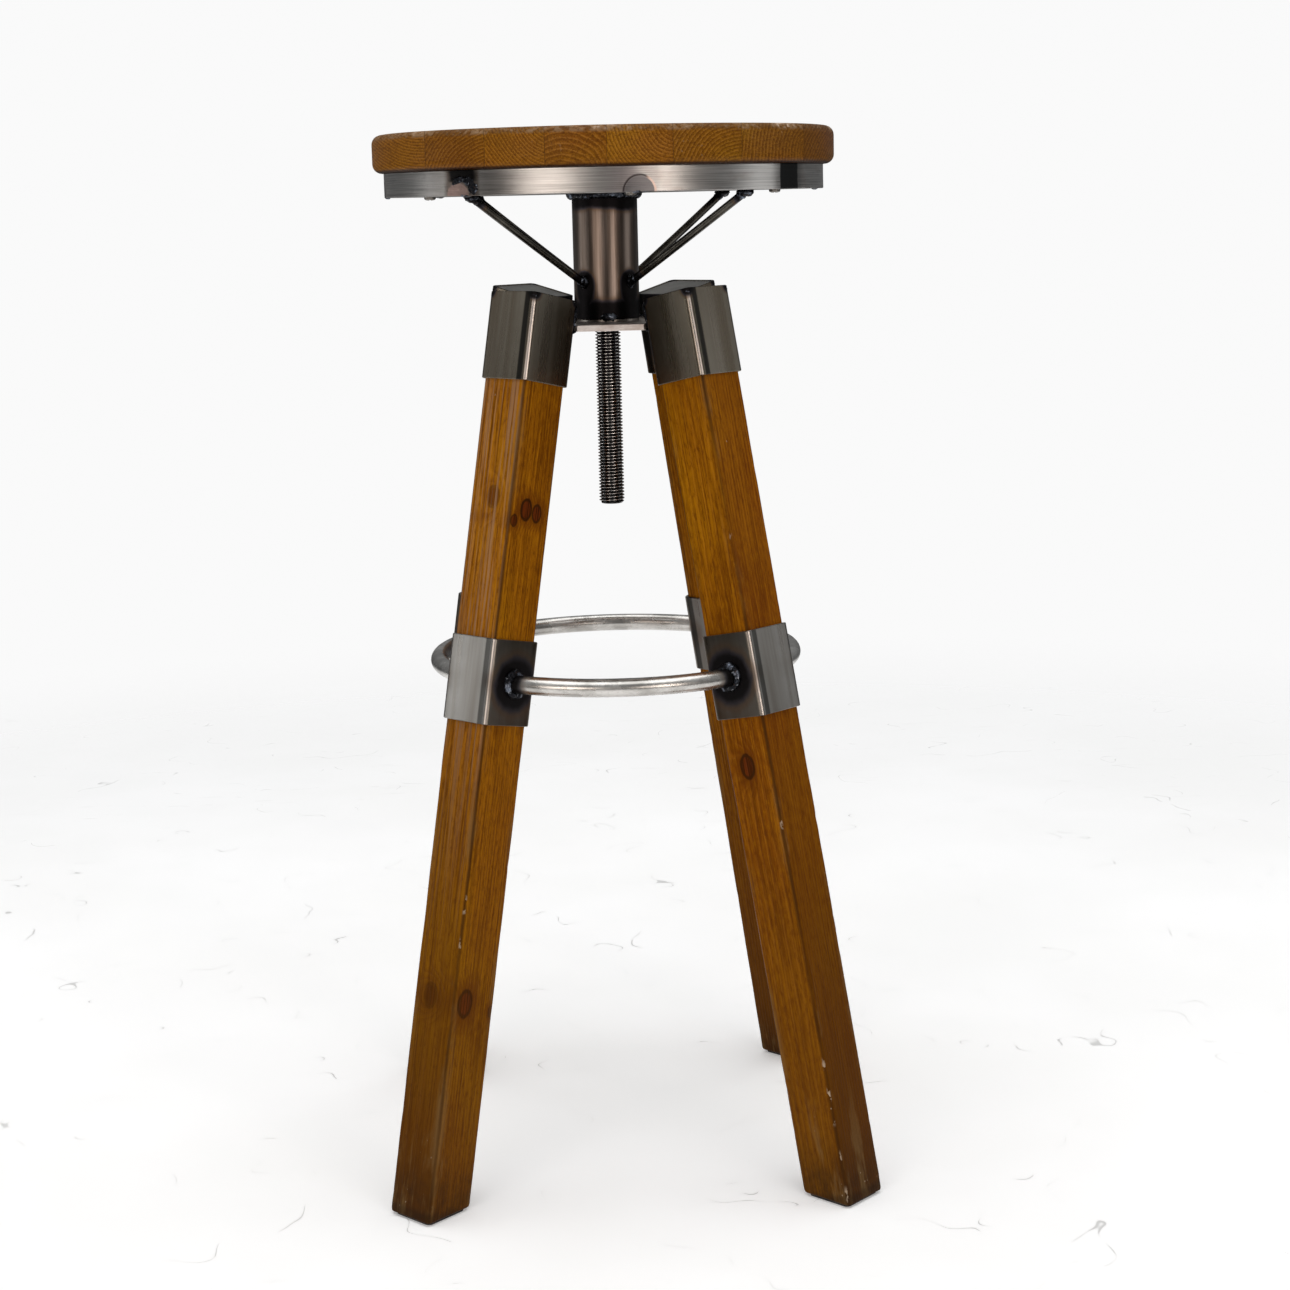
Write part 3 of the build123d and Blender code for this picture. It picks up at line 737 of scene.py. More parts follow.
def lump(centre, radii, seed, axes=None, rows=10, columns=16, rough=0.28):
    """An uneven drop of weld metal."""
    centre, radii = np.asarray(centre, float), np.asarray(radii, float)
    axes = np.eye(3) if axes is None else np.asarray(axes, float)
    verts = []
    for i in range(rows + 1):
        tilt = math.pi * (0.02 + 0.96 * i / rows)
        for k in range(columns):
            turn = 2 * math.pi * k / columns
            d = np.array((math.sin(tilt) * math.cos(turn), math.sin(tilt) * math.sin(turn), math.cos(tilt)))
            swell = 1 + rough * noise.noise(Vector(d * 1.7) + Vector((seed * 2.3, seed, 0)))
            swell += rough * 0.5 * noise.noise(Vector(d * 4.3) + Vector((seed, 0, seed * 1.7)))
            verts.append(centre + (d * radii * swell) @ axes)
    return verts, bridge(rows + 1, 0, columns, ends=True)


def merge(parts):
    verts, faces = [], []
    for part_verts, part_faces in parts:
        base = len(verts)
        verts += list(part_verts)
        faces += [tuple(base + i for i in face) for face in part_faces]
    return verts, faces


def polar(radius, degrees, z):
    a = math.radians(degrees)
    return np.array((radius * math.cos(a), radius * math.sin(a), z))


# ---------------------------------------------------------------- legs, caps and sleeves
# knots: the axis they run along, place across that face, height up the leg, radius, strength
# chips: which edge of the leg (sign of outward, sign of sideways), from where to where up it, how broken
build_leg("front_left", 1.0, (-0.062, 0.021),
          (("y", 0.0048, 0.541, 0.0058, 1.0), ("y", -0.0068, 0.539, 0.0048, 0.95), ("y", 0.0165, 0.532, 0.0032, 0.9),
           ("x", 0.0030, 0.548, 0.0062, 0.50), ("y", 0.0100, 0.166, 0.0078, 1.0), ("x", -0.0030, 0.168, 0.0066, 0.60),
           ("y", -0.0185, 0.158, 0.0034, 0.8)),
          ((1, 1, 0.236, 0.246, 0.8), (1, 1, 0.208, 0.214, 0.4), (1, 1, 0.0, 0.010, 0.5)), (1.0, 0.45), 0.0)
build_leg("front_right", 2.0, (0.047, 0.066),
          (("y", -0.0020, 0.340, 0.0068, 1.0),),
          ((1, -1, 0.104, 0.110, 0.6), (1, -1, 0.064, 0.088, 1.1), (1, -1, 0.030, 0.038, 0.5),
           (1, -1, 0.0, 0.010, 0.7), (1, -1, 0.292, 0.297, 0.9), (-1, -1, 0.060, 0.085, 0.5),
           (1, 1, 0.0, 0.012, 0.5)), (0.45, 0.30), 0.38)
build_leg("rear_right", 3.0, (-0.04, -0.058), (("x", -0.006, 0.300, 0.0045, 0.8), ("y", 0.004, 0.520, 0.0038, 0.9)),
          ((1, 1, 0.10, 0.14, 0.6), (1, -1, 0.02, 0.05, 0.9)))
build_leg("rear_left", 4.0, (0.061, -0.030), (("x", 0.009, 0.470, 0.0048, 0.9), ("y", -0.010, 0.160, 0.0050, 0.8)),
          ((1, -1, 0.20, 0.23, 0.6), (1, 1, 0.0, 0.04, 0.8)))

ring_side = math.sqrt(RING_RADIUS ** 2 - SLEEVE_HALF ** 2) - FOOT_RADIUS
weld_local = (ring_side * math.cos(SPLAY) + RING_HEIGHT * math.sin(SPLAY), SLEEVE_HALF,
              -ring_side * math.sin(SPLAY) + RING_HEIGHT * math.cos(SPLAY))
cap_metal = square_steel("cap_steel", (0.172, 0.154, 0.124), (0.118, 0.097, 0.072), 0.26, 1.0, top=CAP_SPAN[1])
# a darker copy of the cap steel for the front right cap, with painted shade on its side faces
shaded_right_cap_metal = square_steel("cap_steel_right_shaded", (0.165, 0.148, 0.120), (0.110, 0.092, 0.068), 0.26, 6.0,
                               top=CAP_SPAN[1], side_shade=0.45)
sleeve_metal = square_steel("sleeve_steel", (0.232, 0.224, 0.210), (0.140, 0.128, 0.112), 0.28, 5.0,
                            weld=weld_local, weld_reach=0.022, reflected_dark_line=0.75, wear_and_sheen=0.55, side_shade=0.68)
for corner in CORNERS:
    metal = shaded_right_cap_metal if corner == "front_right" else cap_metal
    square_tube(f"cap_{corner}", corner, CAP_SPAN, "dark_steel", metal, (f"leg_cap_{corner}",))
    square_tube(f"sleeve_{corner}", corner, RING_SLEEVE_SPAN, "dark_steel", sleeve_metal, (f"ring_sleeve_{corner}",))

# ---------------------------------------------------------------- foot ring
weld_pair = [weld_local, (weld_local[0], -weld_local[1], weld_local[2])]
ring_metal = plain_steel("ring_steel", (0.68, 0.66, 0.63), (0.40, 0.385, 0.36), 0.25, 2.0, (40, 40, 60),
                         heat_at=[tuple(abs(v) for v in spot) for spot in to_row("front_left", weld_pair)], reach=0.012)
gap = math.degrees(math.asin(SLEEVE_HALF / RING_RADIUS)) - 0.15
for side, middle in (("front", 270), ("right", 0), ("rear", 90), ("left", 180)):
    around, along = 28, 72
    verts = []
    for j in range(along + 1):
        degrees = middle - 45 + gap + (90 - 2 * gap) * j / along
        for i in range(around):
            a = 2 * math.pi * i / around
            verts.append(polar(RING_RADIUS + RING_TUBE * math.cos(a), degrees, RING_HEIGHT + RING_TUBE * math.sin(a)))
    faces = bridge(along + 1, 0, around, ends=True)
    piece(f"ring_{side}", verts, faces, "base", "ring_steel", ring_metal, (f"foot_ring_{side}",))

weld_metal = weld_steel("weld_metal")


def welds(name, parts, body, slot):
    piece(name, *merge(parts), body, slot, weld_metal, sharp=60)


def dress(node_name, material):
    """Gives a carried-over CAD node its material."""
    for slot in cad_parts[node_name].material_slots:
        slot.material = material


parts = []
for n, corner in enumerate(CORNERS):
    _, out, side, up = lean_axes(corner)
    for sign in (1, -1):
        centre = to_row(corner, [(weld_local[0], sign * SLEEVE_HALF, weld_local[2])])[0]
        seed = n * 2 + sign
        turns = np.radians(np.arange(0, 360, 12))
        circle = [centre + (out * math.cos(t) + up * math.sin(t)) * (RING_TUBE + 0.0012) + side * sign * 0.0008
                  for t in turns]
        facing = [side * sign * 0.8 + out * math.cos(t) * 0.6 + up * math.sin(t) * 0.6 for t in turns]
        parts.append(weld_bead(circle, facing, 0.0036, 0.0027, seed, closed=True, ripple=0.0030))
        for k in range(3):
            t = math.radians(200 * k + 40 * seed)
            parts.append(lump(centre + (out * math.cos(t) + up * math.sin(t)) * 0.0088 + side * sign * 0.0012,
                              (0.0034, 0.0022, 0.0030), seed * 3 + k, (out, side, up)))
welds("ring_welds", parts, "base", "ring_steel")

# ---------------------------------------------------------------- hub: plate, cap plates, their welds, nut
hub_metal = plain_steel("hub_steel", (0.92, 0.86, 0.82), (0.66, 0.57, 0.52), 0.40, 7.0, (60, 60, 160),
                        heat_at=[(0.034, 0.0606, 0.6625), (0.0606, 0.034, 0.6625)], reach=0.007)
bevel = 0.0005
octagon = []
for k in range(8):
    a = math.radians(22.5 + 45 * k)
    octagon.append((math.cos(a) / math.cos(HALF_SIDE), math.sin(a) / math.cos(HALF_SIDE)))
rings = [(HUB_BORE, HUB_BOTTOM), (HUB_APOTHEM - bevel, HUB_BOTTOM), (HUB_APOTHEM, HUB_BOTTOM + bevel),
         (HUB_APOTHEM, HUB_TOP - bevel), (HUB_APOTHEM - bevel, HUB_TOP), (HUB_BORE, HUB_TOP)]
verts = []
for index, (radius, z) in enumerate(rings):
    bore = index in (0, 5)
    for k in range(8):
        for part in range(4):
            (ax, ay), (bx, by) = octagon[k], octagon[(k + 1) % 8]
            f = part / 4
            x, y = ax + (bx - ax) * f, ay + (by - ay) * f
            if bore:
                length = math.hypot(x, y)
                x, y = x / length, y / length
            verts.append((x * radius, y * radius, z))
piece("hub_plate_steel", verts, bridge(len(rings), 0, 32, closed=True), "base", "raw_steel", hub_metal, ("hub_plate",))

cap_plate_metal = plain_steel("cap_plate_steel", (0.40, 0.39, 0.365), (0.24, 0.23, 0.205), 0.34, 4.0, (50, 50, 50))
parts = []
for n, corner in enumerate(CORNERS):
    dress(f"cap_plate_{corner}", cap_plate_metal)
    _, out, side, up = lean_axes(corner)
    top = CAP_SPAN[1]
    reach = SLEEVE_HALF - 0.0030
    for k, (sx, sy) in enumerate(((1, 1), (1, -1), (-1, 1), (-1, -1))):
        centre = to_row(corner, [(sx * reach, sy * reach, top - 0.0016)])[0]
        diagonal = (out * sx + side * sy) / math.sqrt(2)
        across = (out * sx - side * sy) / math.sqrt(2)
        parts.append(lump(centre, (0.0024, 0.0029, 0.0017), n * 5 + k, (diagonal, across, up)))
        parts.append(lump(centre + diagonal * 0.0016 - up * 0.0014, (0.0011, 0.0021, 0.0018), n * 7 + k,
                          (diagonal, across, up)))
    # the inner upright edges of the cap, from the hub plate to near its top
    for sy in (1, -1):
        rise = np.linspace(0.0, 1.0, 14)
        start = (HUB_TOP + 0.001 + (SLEEVE_HALF - 0.002) * math.sin(SPLAY)) / math.cos(SPLAY)
        inset = SLEEVE_HALF - 0.0010
        edge = to_row(corner, [(-inset, sy * inset, start + (top - 0.004 - start) * r) for r in rise])
        away = (-out + side * sy) / math.sqrt(2)
        parts.append(weld_bead(edge, [away] * len(edge), 0.0022, 0.0017, n * 4 + sy, ripple=0.0036))
    # where the octagon's slanted side meets the cap, above the plate
    half = HUB_APOTHEM * math.tan(HALF_SIDE)
    angle = math.radians(CORNERS[corner])
    radial, tangent = np.array((math.cos(angle), math.sin(angle), 0)), np.array((-math.sin(angle), math.cos(angle), 0))
    for z, lift in ((HUB_TOP, 1), (HUB_BOTTOM, -1)):
        seam = [radial * (HUB_APOTHEM + 0.0003) + tangent * half * r * 0.92 + np.array((0, 0, z))
                for r in np.linspace(-1, 1, 20)]
        facing = [-radial * 0.7 + np.array((0, 0, lift * 0.7))] * len(seam)
        parts.append(weld_bead(seam, facing, 0.0024, 0.0018, n * 3 + lift))
welds("hub_welds", parts, "base", "dark_steel")

screw_metal = plain_steel("screw_steel", (0.31, 0.29, 0.265), (0.15, 0.135, 0.12), 0.32, 3.0, (80, 80, 25))
segments = 72
apothem, corner_radius = NUT_FLATS / 2, NUT_FLATS / 2 / math.cos(math.radians(30))
verts = []
levels = [(NUT_BORE, HUB_TOP, False), (apothem * 0.93, HUB_TOP, False), (corner_radius, HUB_TOP + 0.0022, True),
          (corner_radius, NUT_TOP - 0.0022, True), (apothem * 0.93, NUT_TOP, False),
          (NUT_BORE + 0.0007, NUT_TOP, False), (NUT_BORE, NUT_TOP - 0.0007, False)]
for radius, z, hexed in levels:
    for i in range(segments):
        a = 2 * math.pi * i / segments
        flat = apothem / math.cos((a % math.radians(60)) - math.radians(30))
        r = min(radius, flat)
        drop = 0.0
        if hexed:      # the chamfer cone cuts the corners lower than the flats
            drop = (corner_radius - r) * 0.35 * (-1 if z < (HUB_TOP + NUT_TOP) / 2 else 1)
        verts.append((r * math.cos(a), r * math.sin(a), z + drop))
piece("lift_nut_steel", verts, bridge(len(levels), 0, segments, closed=True), "base", "screw_steel", screw_metal,
      ("lift_nut",), sharp=25)

rubber_pad = rubber("pad_rubber")
for corner in CORNERS:
    dress(f"foot_pad_{corner}", rubber_pad)
dress("tube_end_ring", plain_steel("end_ring_steel", (0.36, 0.34, 0.31), (0.20, 0.18, 0.16), 0.32, 8.0))

# ---------------------------------------------------------------- lift screw
per_turn = 48
thread = ((0.0, 0.00847), (0.16, 0.00850), (0.44, SCREW_RADIUS), (0.60, SCREW_RADIUS), (0.88, 0.00850))
turns = int((SCREW_TOP - SCREW_BOTTOM) / THREAD_PITCH) + 3
verts = []
rows = turns * len(thread)
for i in range(per_turn):
    a = 2 * math.pi * i / per_turn
    for k in range(rows):
        turn, part = divmod(k, len(thread))
        fraction, radius = thread[part]
        z = SCREW_BOTTOM - THREAD_PITCH + THREAD_PITCH * (turn + fraction + i / per_turn)
        z = min(max(z, SCREW_BOTTOM), SCREW_TOP)
        chamfer = 0.0080 + (z - SCREW_BOTTOM) * 1.1
        r = min(radius, chamfer)
        verts.append((r * math.cos(a), r * math.sin(a), z))
faces = []
for i in range(per_turn):
    for k in range(rows - 1):
        if i < per_turn - 1:
            faces.append((i * rows + k, (i + 1) * rows + k, (i + 1) * rows + k + 1, i * rows + k + 1))
        elif k + len(thread) + 1 < rows:
            faces.append((i * rows + k, k + len(thread), k + len(thread) + 1, i * rows + k + 1))
for z, radius in ((SCREW_BOTTOM, 0.0080), (SCREW_TOP, 0.0098)):
    first = len(verts)
    verts += [(radius * math.cos(2 * math.pi * i / per_turn), radius * math.sin(2 * math.pi * i / per_turn), z)
              for i in range(per_turn)]
    faces.append(tuple(range(first, first + per_turn)))
mesh = bpy.data.meshes.new("lift_screw_thread")
mesh.from_pydata(verts, [], faces)
work = bmesh.new()
work.from_mesh(mesh)
bmesh.ops.remove_doubles(work, verts=work.verts, dist=1e-6)
bmesh.ops.dissolve_degenerate(work, edges=work.edges, dist=1e-6)
bmesh.ops.recalc_face_normals(work, faces=work.faces)
work.to_mesh(mesh)
work.free()
adopt("lift_screw_thread", mesh, "seat", thread_steel("thread_steel"), ("lift_screw",), sharp=30)

# ---------------------------------------------------------------- seat: staves
arc = [math.radians(d) for d in range(0, 91, 15)]
rim = SEAT_RADIUS - SEAT_ROUNDING
profile = [(0.0005, SEAT_BOTTOM), (SEAT_REBATE, SEAT_BOTTOM), (SEAT_REBATE, SEAT_SHOULDER)]
profile += [(rim + SEAT_ROUNDING * math.sin(a), SEAT_SHOULDER + SEAT_ROUNDING * (1 - math.cos(a))) for a in arc]
profile += [(rim + SEAT_ROUNDING * math.cos(a), SEAT_TOP - SEAT_ROUNDING * (1 - math.sin(a))) for a in arc]
profile += [(0.0005, SEAT_TOP)]
verts, faces = revolve(profile, 300, closed=False)
disc = bpy.data.meshes.new("seat_disc")
disc.from_pydata(verts, [], faces)
ends = [-SEAT_RADIUS - 0.01, *STAVE_JOINTS, SEAT_RADIUS + 0.01]
# growth rings of each stave: where their centre lies (X, Z), brightness and yellowness, ring spacing
piths = ((-0.128, 0.850), (-0.086, 0.771), (-0.041, 0.816), (-0.037, 0.771), (0.0465, 0.813),
         (0.094, 0.769), (0.152, 0.789), (0.200, 0.765))
tones = ((0.98, 0.99), (0.93, 0.98), (1.06, 1.02), (1.00, 1.0), (1.06, 0.97), (0.95, 1.02), (0.88, 1.02), (0.66, 1.0))
spacings = (0.0021, 0.0026, 0.0024, 0.0036, 0.0024, 0.0026, 0.0025, 0.0023)
for index in range(8):
    start, end = ends[index], ends[index + 1]
    work = bmesh.new()
    work.from_mesh(disc)
    for place, keep in ((start, 1), (end, -1)):
        if abs(place) > SEAT_RADIUS:
            continue
        geometry = work.verts[:] + work.edges[:] + work.faces[:]
        cut = bmesh.ops.bisect_plane(work, geom=geometry, plane_co=(place + keep * 0.00008, 0, 0), plane_no=(1, 0, 0),
                                     clear_inner=keep > 0, clear_outer=keep < 0, dist=1e-7)
        rim_edges = [g for g in cut["geom_cut"] if isinstance(g, bmesh.types.BMEdge)]
        bmesh.ops.edgenet_fill(work, edges=rim_edges)
    bmesh.ops.recalc_face_normals(work, faces=work.faces)
    mesh = bpy.data.meshes.new(f"seat_wood_{index + 1}")
    work.to_mesh(mesh)
    work.free()
    wood = stave_wood(f"seat_pine_{index + 1}", index, start, end, piths[index], tones[index], spacings[index])
    adopt(f"seat_wood_{index + 1}", mesh, "seat", wood, (f"seat_stave_{index + 1}",))

# ---------------------------------------------------------------- seat: hoop, plate, screws
MARKS_START = math.radians(-38.6)
soft = 0.0004
inner = HOOP_RADIUS - HOOP_WALL
profile = [(inner, STEEL_BOTTOM), (HOOP_RADIUS - soft, STEEL_BOTTOM), (HOOP_RADIUS, STEEL_BOTTOM + soft)]
profile += [(HOOP_RADIUS, STEEL_BOTTOM + soft + (SEAT_SHOULDER - STEEL_BOTTOM - 2 * soft) * i / 8) for i in range(1, 8)]
profile += [(HOOP_RADIUS, SEAT_SHOULDER - soft), (HOOP_RADIUS - soft, SEAT_SHOULDER), (inner, SEAT_SHOULDER)]
verts, faces = revolve(profile, 360)
swells = [1 + 0.0009 * noise.noise(Vector((x * 22, y * 22, z * 60))) for x, y, z in verts]
verts = [(x * swell, y * swell, z) for (x, y, z), swell in zip(verts, swells)]
piece("hoop", verts, faces, "seat", "raw_steel", hoop_steel("hoop_steel", MARKS_START), ("seat_hoop",))

plate_metal = plain_steel("plate_steel", (0.34, 0.33, 0.31), (0.19, 0.18, 0.165), 0.36, 6.0, (26, 90, 40),
                          heat_at=[(0.1023, 0.1023, STEEL_BOTTOM), (0.0, 0.0, STEEL_BOTTOM)], reach=0.022)
dress("seat_plate", plate_metal)

parts = []
for n in range(4):
    degrees = 6 + 90 * n
    centre = polar(SEAT_SCREW_CIRCLE, degrees, STEEL_BOTTOM)
    count = 40
    dome = [(0.0045, 0.0), (0.0045, 0.0009), (0.0043, 0.0016), (0.0037, 0.0021), (0.0028, 0.00245), (0.0017, 0.0026),
            (0.0006, 0.0026)]
    verts = []
    for radius, depth in dome:
        for i in range(count):
            a = 2 * math.pi * i / count + math.radians(17 * n)
            # a cross recess: the top rings are pushed in along four arms
            slot_depth = 0.0
            if radius < 0.0030:
                arm = min(abs(math.sin(a)), abs(math.cos(a))) * radius
                slot_depth = 0.0012 * max(0.0, 1 - arm / 0.0006)
            verts.append(centre + np.array((radius * math.cos(a), radius * math.sin(a), -(depth - slot_depth))))
    faces = bridge(len(dome), 0, count)
    faces.append(tuple(range((len(dome) - 1) * count, len(dome) * count)))
    shank = revolve([(radius, STEEL_BOTTOM + rise) for radius, rise in
                     ((0.0022, 0.0), (0.0022, 0.018), (0.0016, 0.022), (0.0002, 0.025))], 20, closed=False)
    parts.append((verts, faces))
    parts.append(([np.array(v) + np.array((centre[0], centre[1], 0)) for v in shank[0]], shank[1]))
piece("seat_screw_heads", *merge(parts), "seat", "raw_steel", screw_metal, ("seat_screws",))

# ---------------------------------------------------------------- seat: centre tube, rods, welds
wall = 0.003
profile = [(TUBE_RADIUS - wall, TUBE_BOTTOM), (TUBE_RADIUS - 0.0005, TUBE_BOTTOM), (TUBE_RADIUS, TUBE_BOTTOM + 0.0005)]
profile += [(TUBE_RADIUS, TUBE_BOTTOM + 0.0005 + (STEEL_BOTTOM - TUBE_BOTTOM - 0.0005) * i / 14) for i in range(1, 15)]
profile += [(TUBE_RADIUS - wall, STEEL_BOTTOM)]
verts, faces = revolve(profile, 120)
piece("tube", verts, faces, "seat", "raw_steel", tube_steel("tube_steel"), ("centre_tube",))

rod_metal = plain_steel("rod_steel", (0.115, 0.108, 0.092), (0.050, 0.045, 0.038), 0.27, 12.0, (40, 40, 40),
                        heat_at=[(0.018, 0.018, 0.695), (0.1023, 0.1023, 0.763)], reach=0.014)
weld_parts = []
for n, (corner, degrees) in enumerate(CORNERS.items()):
    start, end = polar(ROD_FOOT[0], degrees, ROD_FOOT[1]), polar(ROD_HEAD[0], degrees, ROD_HEAD[1])
    along = (end - start) / np.linalg.norm(end - start)
    side = np.array((-math.sin(math.radians(degrees)), math.cos(math.radians(degrees)), 0.0))
    up = np.cross(along, side)
    verts, around, steps = [], 16, 40
    for j in range(steps + 1):
        f = j / steps
        bow = 0.0006 * math.sin(math.pi * f) * (1 if n % 2 else -1)
        middle = start + (end - start) * f + side * bow
        for i in range(around):
            a = 2 * math.pi * i / around
            verts.append(middle + (side * math.cos(a) + up * math.sin(a)) * ROD_RADIUS)
    faces = bridge(steps + 1, 0, around, ends=True)
    piece(f"rod_{corner}", verts, faces, "seat", "raw_steel", rod_metal, (f"gusset_rod_{corner}",))
    radial = polar(1.0, degrees, 0.0)
    frame_axes = (radial, side, np.array((0, 0, 1.0)))
    weld_parts.append(lump(start + along * 0.0015 - radial * 0.0010, (0.0026, 0.0040, 0.0048), n + 1, frame_axes))
    weld_parts.append(lump(start + along * 0.0050, (0.0028, 0.0034, 0.0034), n + 9, frame_axes))
    weld_parts.append(lump(end - along * 0.0030, (0.0072, 0.0050, 0.0034), n + 3, frame_axes))
    weld_parts.append(lump(end - along * 0.0080, (0.0040, 0.0040, 0.0030), n + 6, frame_axes))
welds("rod_welds", weld_parts, "seat", "raw_steel")

weld_parts = []
turns = np.radians(np.arange(0, 360, 6))
circle = [polar(TUBE_RADIUS + 0.0012, math.degrees(t), STEEL_BOTTOM - 0.0012) for t in turns]
facing = [polar(0.7, math.degrees(t), -0.7) for t in turns]
weld_parts.append(weld_bead(circle, facing, 0.0034, 0.0028, 31, closed=True, ripple=0.0034))
for n, (start, end) in enumerate(((255, 285), (20, 50), (140, 170))):
    arc = [polar(TUBE_RADIUS - 0.0004, d, TUBE_BOTTOM + 0.0018) for d in np.linspace(start, end, 12)]
    facing = [polar(1, d, 0) for d in np.linspace(start, end, 12)]
    weld_parts.append(weld_bead(arc, facing, 0.0032, 0.0020, 40 + n, ripple=0.003))
welds("tube_welds", weld_parts, "seat", "raw_steel")

weld_parts = []
for n in range(8):
    if n == 2:
        continue
    degrees = math.degrees(MARKS_START) + 45 * n - 90
    if n == 0:
        # the bead over the first mark, from upper left round to the hoop's lower edge: place round the hoop, height
        trail = ((-0.0110, 0.0075), (-0.0088, 0.0100), (-0.0050, 0.0116), (-0.0005, 0.0116), (0.0035, 0.0104),
                 (0.0065, 0.0080), (0.0082, 0.0048), (0.0090, 0.0010))
        arc = [polar(HOOP_RADIUS - 0.0003, degrees + math.degrees(u / HOOP_RADIUS), STEEL_BOTTOM + v) for u, v in trail]
        out = [polar(1, degrees, 0)] * len(trail)
        weld_parts.append(weld_bead(arc, out, 0.0026, 0.0016, 50, ripple=0.0026))
        weld_parts.append(weld_bead(arc[3:], out[3:], 0.0042, 0.0013, 51, ripple=0.0032))
    at = polar(HOOP_RADIUS - 0.0022, degrees, STEEL_BOTTOM + 0.0004)
    weld_parts.append(lump(at, (0.0022, 0.0060, 0.0014), 60 + n,
                           (polar(1, degrees, 0), polar(1, degrees + 90, 0), (0, 0, 1.0))))
welds("hoop_welds", weld_parts, "seat", "raw_steel")

# ---------------------------------------------------------------- floor, lights, camera
floor_mesh = bpy.data.meshes.new("floor")
radii = [0.0, 0.3, 0.6, 1.0, 1.5, 2.0, 2.6]
verts = [(0, 0, 0)]
verts += [(r * math.cos(2 * math.pi * i / 96), r * math.sin(2 * math.pi * i / 96), 0)
          for r in radii[1:] for i in range(96)]
faces = [(0, 1 + i, 1 + (i + 1) % 96) for i in range(96)]
faces += bridge(len(radii) - 1, 1, 96)
floor_mesh.from_pydata(verts, [], faces)
floor = bpy.data.objects.new("floor", floor_mesh)
scene.collection.objects.link(floor)
s = Shade("floor_white")
point = s.object_point()
cloud = s.noise(point, 3, 0.6, scale=3.0)
marks = s.noise(point, 4, 0.7, scale=30.0)
white = s.mix(s.step(cloud, 0.35, 0.7), (0.90, 0.90, 0.895), (0.93, 0.93, 0.93))
white = s.over(white, s.step(marks, 0.66, 0.76), 0.35, (0.70, 0.70, 0.69))
bent = s.noise(point, 2, 0.5, scale=7.0)
lines = s.step(s.absolute(s.sub(bent, 0.5)), 0.0022, 0.0006)
broken = s.noise(point, 2, 0.6, scale=16.0)
white = s.over(white, s.mul(lines, s.step(broken, 0.53, 0.62)), 0.65, (0.42, 0.42, 0.41))
grit = s.noise(point, 2, 0.6, scale=260.0)
grit = s.mul(s.step(grit, 0.70, 0.76), s.step(s.noise(point, 3, 0.6, scale=5.0), 0.50, 0.66))
white = s.over(white, grit, 0.60, (0.40, 0.39, 0.37))
scuffs = s.noise(s.join(s.mul(s.split(point)[0], 9), s.mul(s.split(point)[1], 55), 2.0), 4, 0.7)
white = s.over(white, s.step(scuffs, 0.60, 0.76), 0.30, (0.66, 0.66, 0.65))
s.set("Base Color", white)
s.set("Roughness", s.range(cloud, 0.55, 0.75))
s.set("Specular IOR Level", 0.2)
s.set("Emission Color", white)
s.shader.inputs["Emission Strength"].default_value = 0.24
s.bump(marks, 0.0002, 0.3)
# the sheet of floor fades out into the white studio well before its rim
fx, fy, _ = s.split(point)
away = s.length(fx, fy)
s.set("Alpha", s.step(away, 2.3, 0.9))
floor_mesh.materials.append(s.material)


def softbox(name, at, towards, width, height, watts, colour=(1, 1, 1)):
    data = bpy.data.lights.new(name, "AREA")
    data.shape = "RECTANGLE"
    data.size, data.size_y = width, height
    data.energy = watts
    data.color = colour
    obj = bpy.data.objects.new(name, data)
    obj.location = at
    obj.rotation_euler = (Vector(towards) - Vector(at)).to_track_quat("-Z", "Y").to_euler()
    obj.visible_camera = False
    scene.collection.objects.link(obj)


softbox("overhead", (0.0, -0.2, 2.9), (0, 0, 0), 3.4, 3.4, 66)
softbox("left_wall", (-2.5, -0.10, 0.63), (0, -0.1, 0.60), 1.4, 0.22, 3.6)
softbox("left_high", (-2.5, -0.15, 1.60), (0, -0.1, 0.80), 1.5, 0.7, 2.2)
softbox("right_wall", (2.6, -0.3, 1.0), (0, 0, 0.5), 1.0, 1.2, 4)
softbox("front_left", (-1.75, -2.9, 0.80), (0, 0, 0.6), 1.7, 1.1, 18, (1.0, 0.89, 0.81))
softbox("front_right", (1.00, -3.1, 0.80), (0, 0, 0.6), 0.9, 1.1, 6.5, (1.0, 0.90, 0.83))
softbox("front_strip", (1.64, -2.9, 0.80), (0, 0, 0.6), 0.26, 1.1, 7.5, (1.0, 0.88, 0.80))

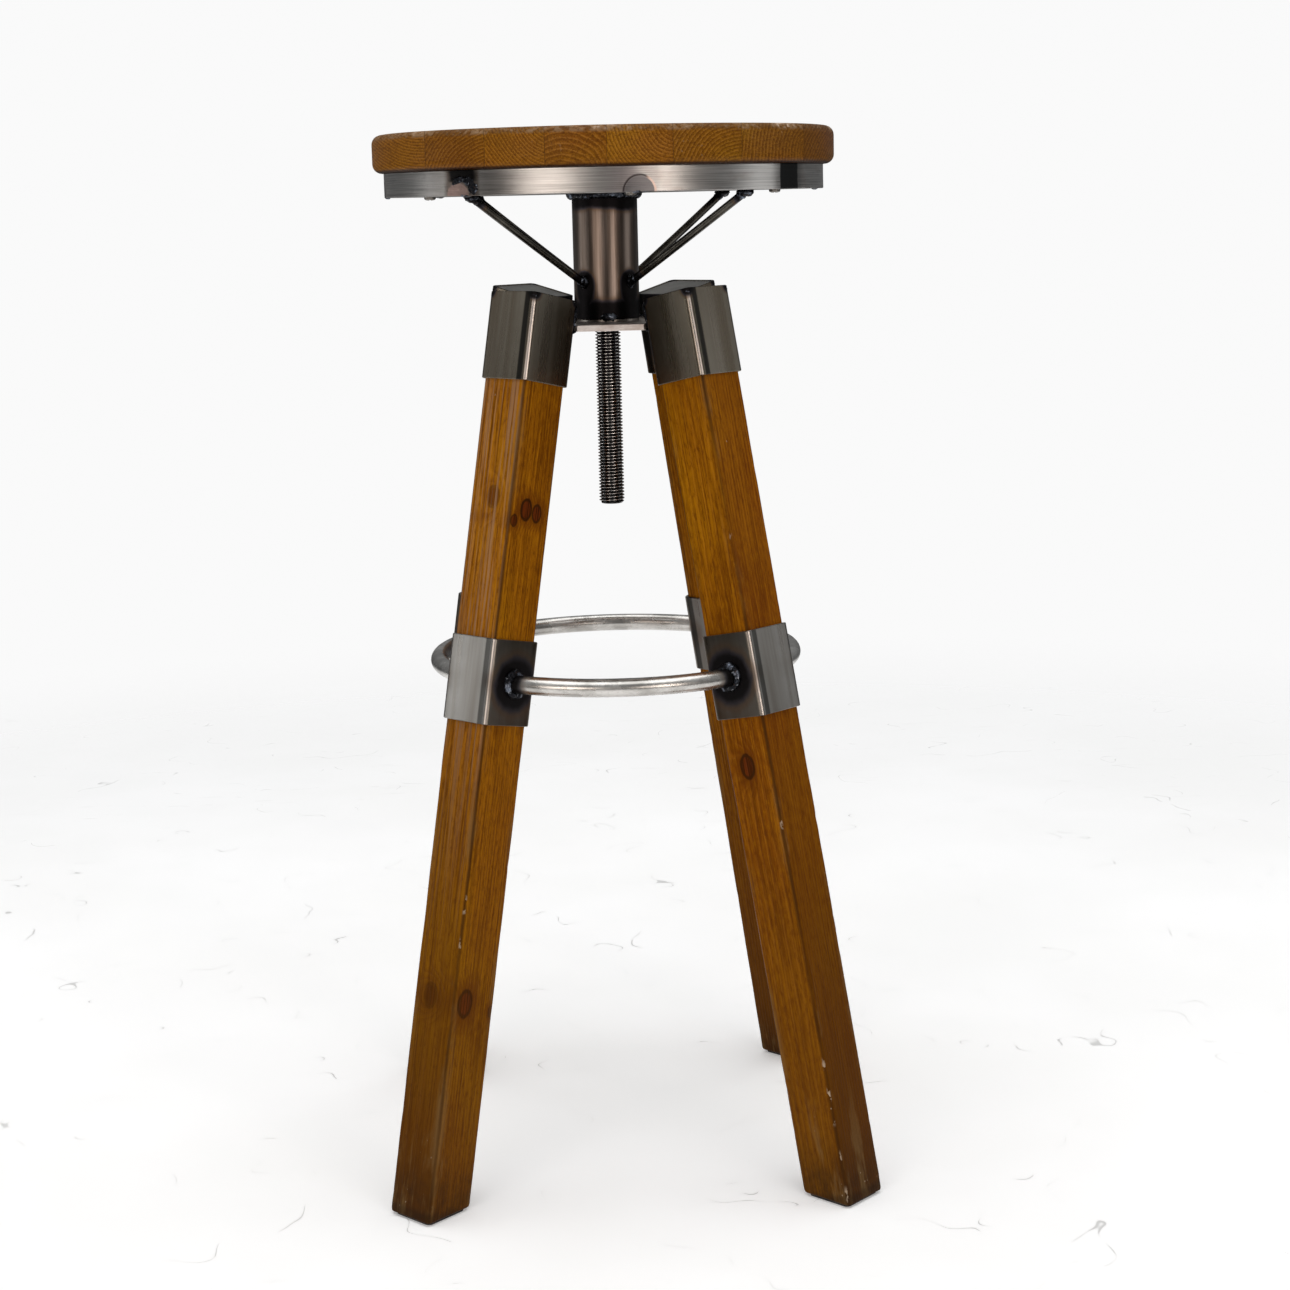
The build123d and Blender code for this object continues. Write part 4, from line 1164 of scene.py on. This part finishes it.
world = bpy.data.worlds.new("studio")
scene.world = world
world.use_nodes = True
tree = world.node_tree
tree.nodes.clear()
output = tree.nodes.new("ShaderNodeOutputWorld")
seen = tree.nodes.new("ShaderNodeBackground")
seen.inputs["Color"].default_value = (0.955, 0.955, 0.955, 1)
room = tree.nodes.new("ShaderNodeBackground")
coordinate = tree.nodes.new("ShaderNodeTexCoord")
separate = tree.nodes.new("ShaderNodeSeparateXYZ")
ramp = tree.nodes.new("ShaderNodeMapRange")
ramp.inputs["From Min"].default_value = -0.35
ramp.inputs["From Max"].default_value = 0.75
ramp.inputs["To Min"].default_value = 0.10
ramp.inputs["To Max"].default_value = 1.0
tree.links.new(coordinate.outputs["Generated"], separate.inputs[0])
tree.links.new(separate.outputs[2], ramp.inputs["Value"])
tree.links.new(ramp.outputs["Result"], room.inputs["Strength"])
room.inputs["Color"].default_value = (0.36, 0.365, 0.37, 1)
path = tree.nodes.new("ShaderNodeLightPath")
choose = tree.nodes.new("ShaderNodeMixShader")
tree.links.new(path.outputs["Is Camera Ray"], choose.inputs[0])
tree.links.new(room.outputs[0], choose.inputs[1])
tree.links.new(seen.outputs[0], choose.inputs[2])
tree.links.new(choose.outputs[0], output.inputs["Surface"])

CAMERA_AT = Vector((-0.07019, -1.88653, 0.75814))
CAMERA_YAW, CAMERA_PITCH, CAMERA_ROLL = 0.04963, 0.18447, -0.02325     # radians: to the right, down, anticlockwise
ahead = Vector((math.sin(CAMERA_YAW), math.cos(CAMERA_YAW), 0))
right = Vector((math.cos(CAMERA_YAW), -math.sin(CAMERA_YAW), 0))
up = Vector((0, 0, 1))
looking = ahead * math.cos(CAMERA_PITCH) - up * math.sin(CAMERA_PITCH)
above = up * math.cos(CAMERA_PITCH) + ahead * math.sin(CAMERA_PITCH)
image_right = right * math.cos(CAMERA_ROLL) + above * math.sin(CAMERA_ROLL)
image_up = above * math.cos(CAMERA_ROLL) - right * math.sin(CAMERA_ROLL)
camera_data = bpy.data.cameras.new("camera")
camera_data.sensor_width = 36.0
camera_data.lens = 66.75
camera_data.clip_end = 60
camera = bpy.data.objects.new("camera", camera_data)
rotation = Matrix((image_right, image_up, -looking)).transposed().to_4x4()
camera.matrix_world = Matrix.Translation(CAMERA_AT) @ rotation
scene.collection.objects.link(camera)
scene.camera = camera
scene.view_settings.view_transform = "Standard"

bpy.context.view_layer.update()
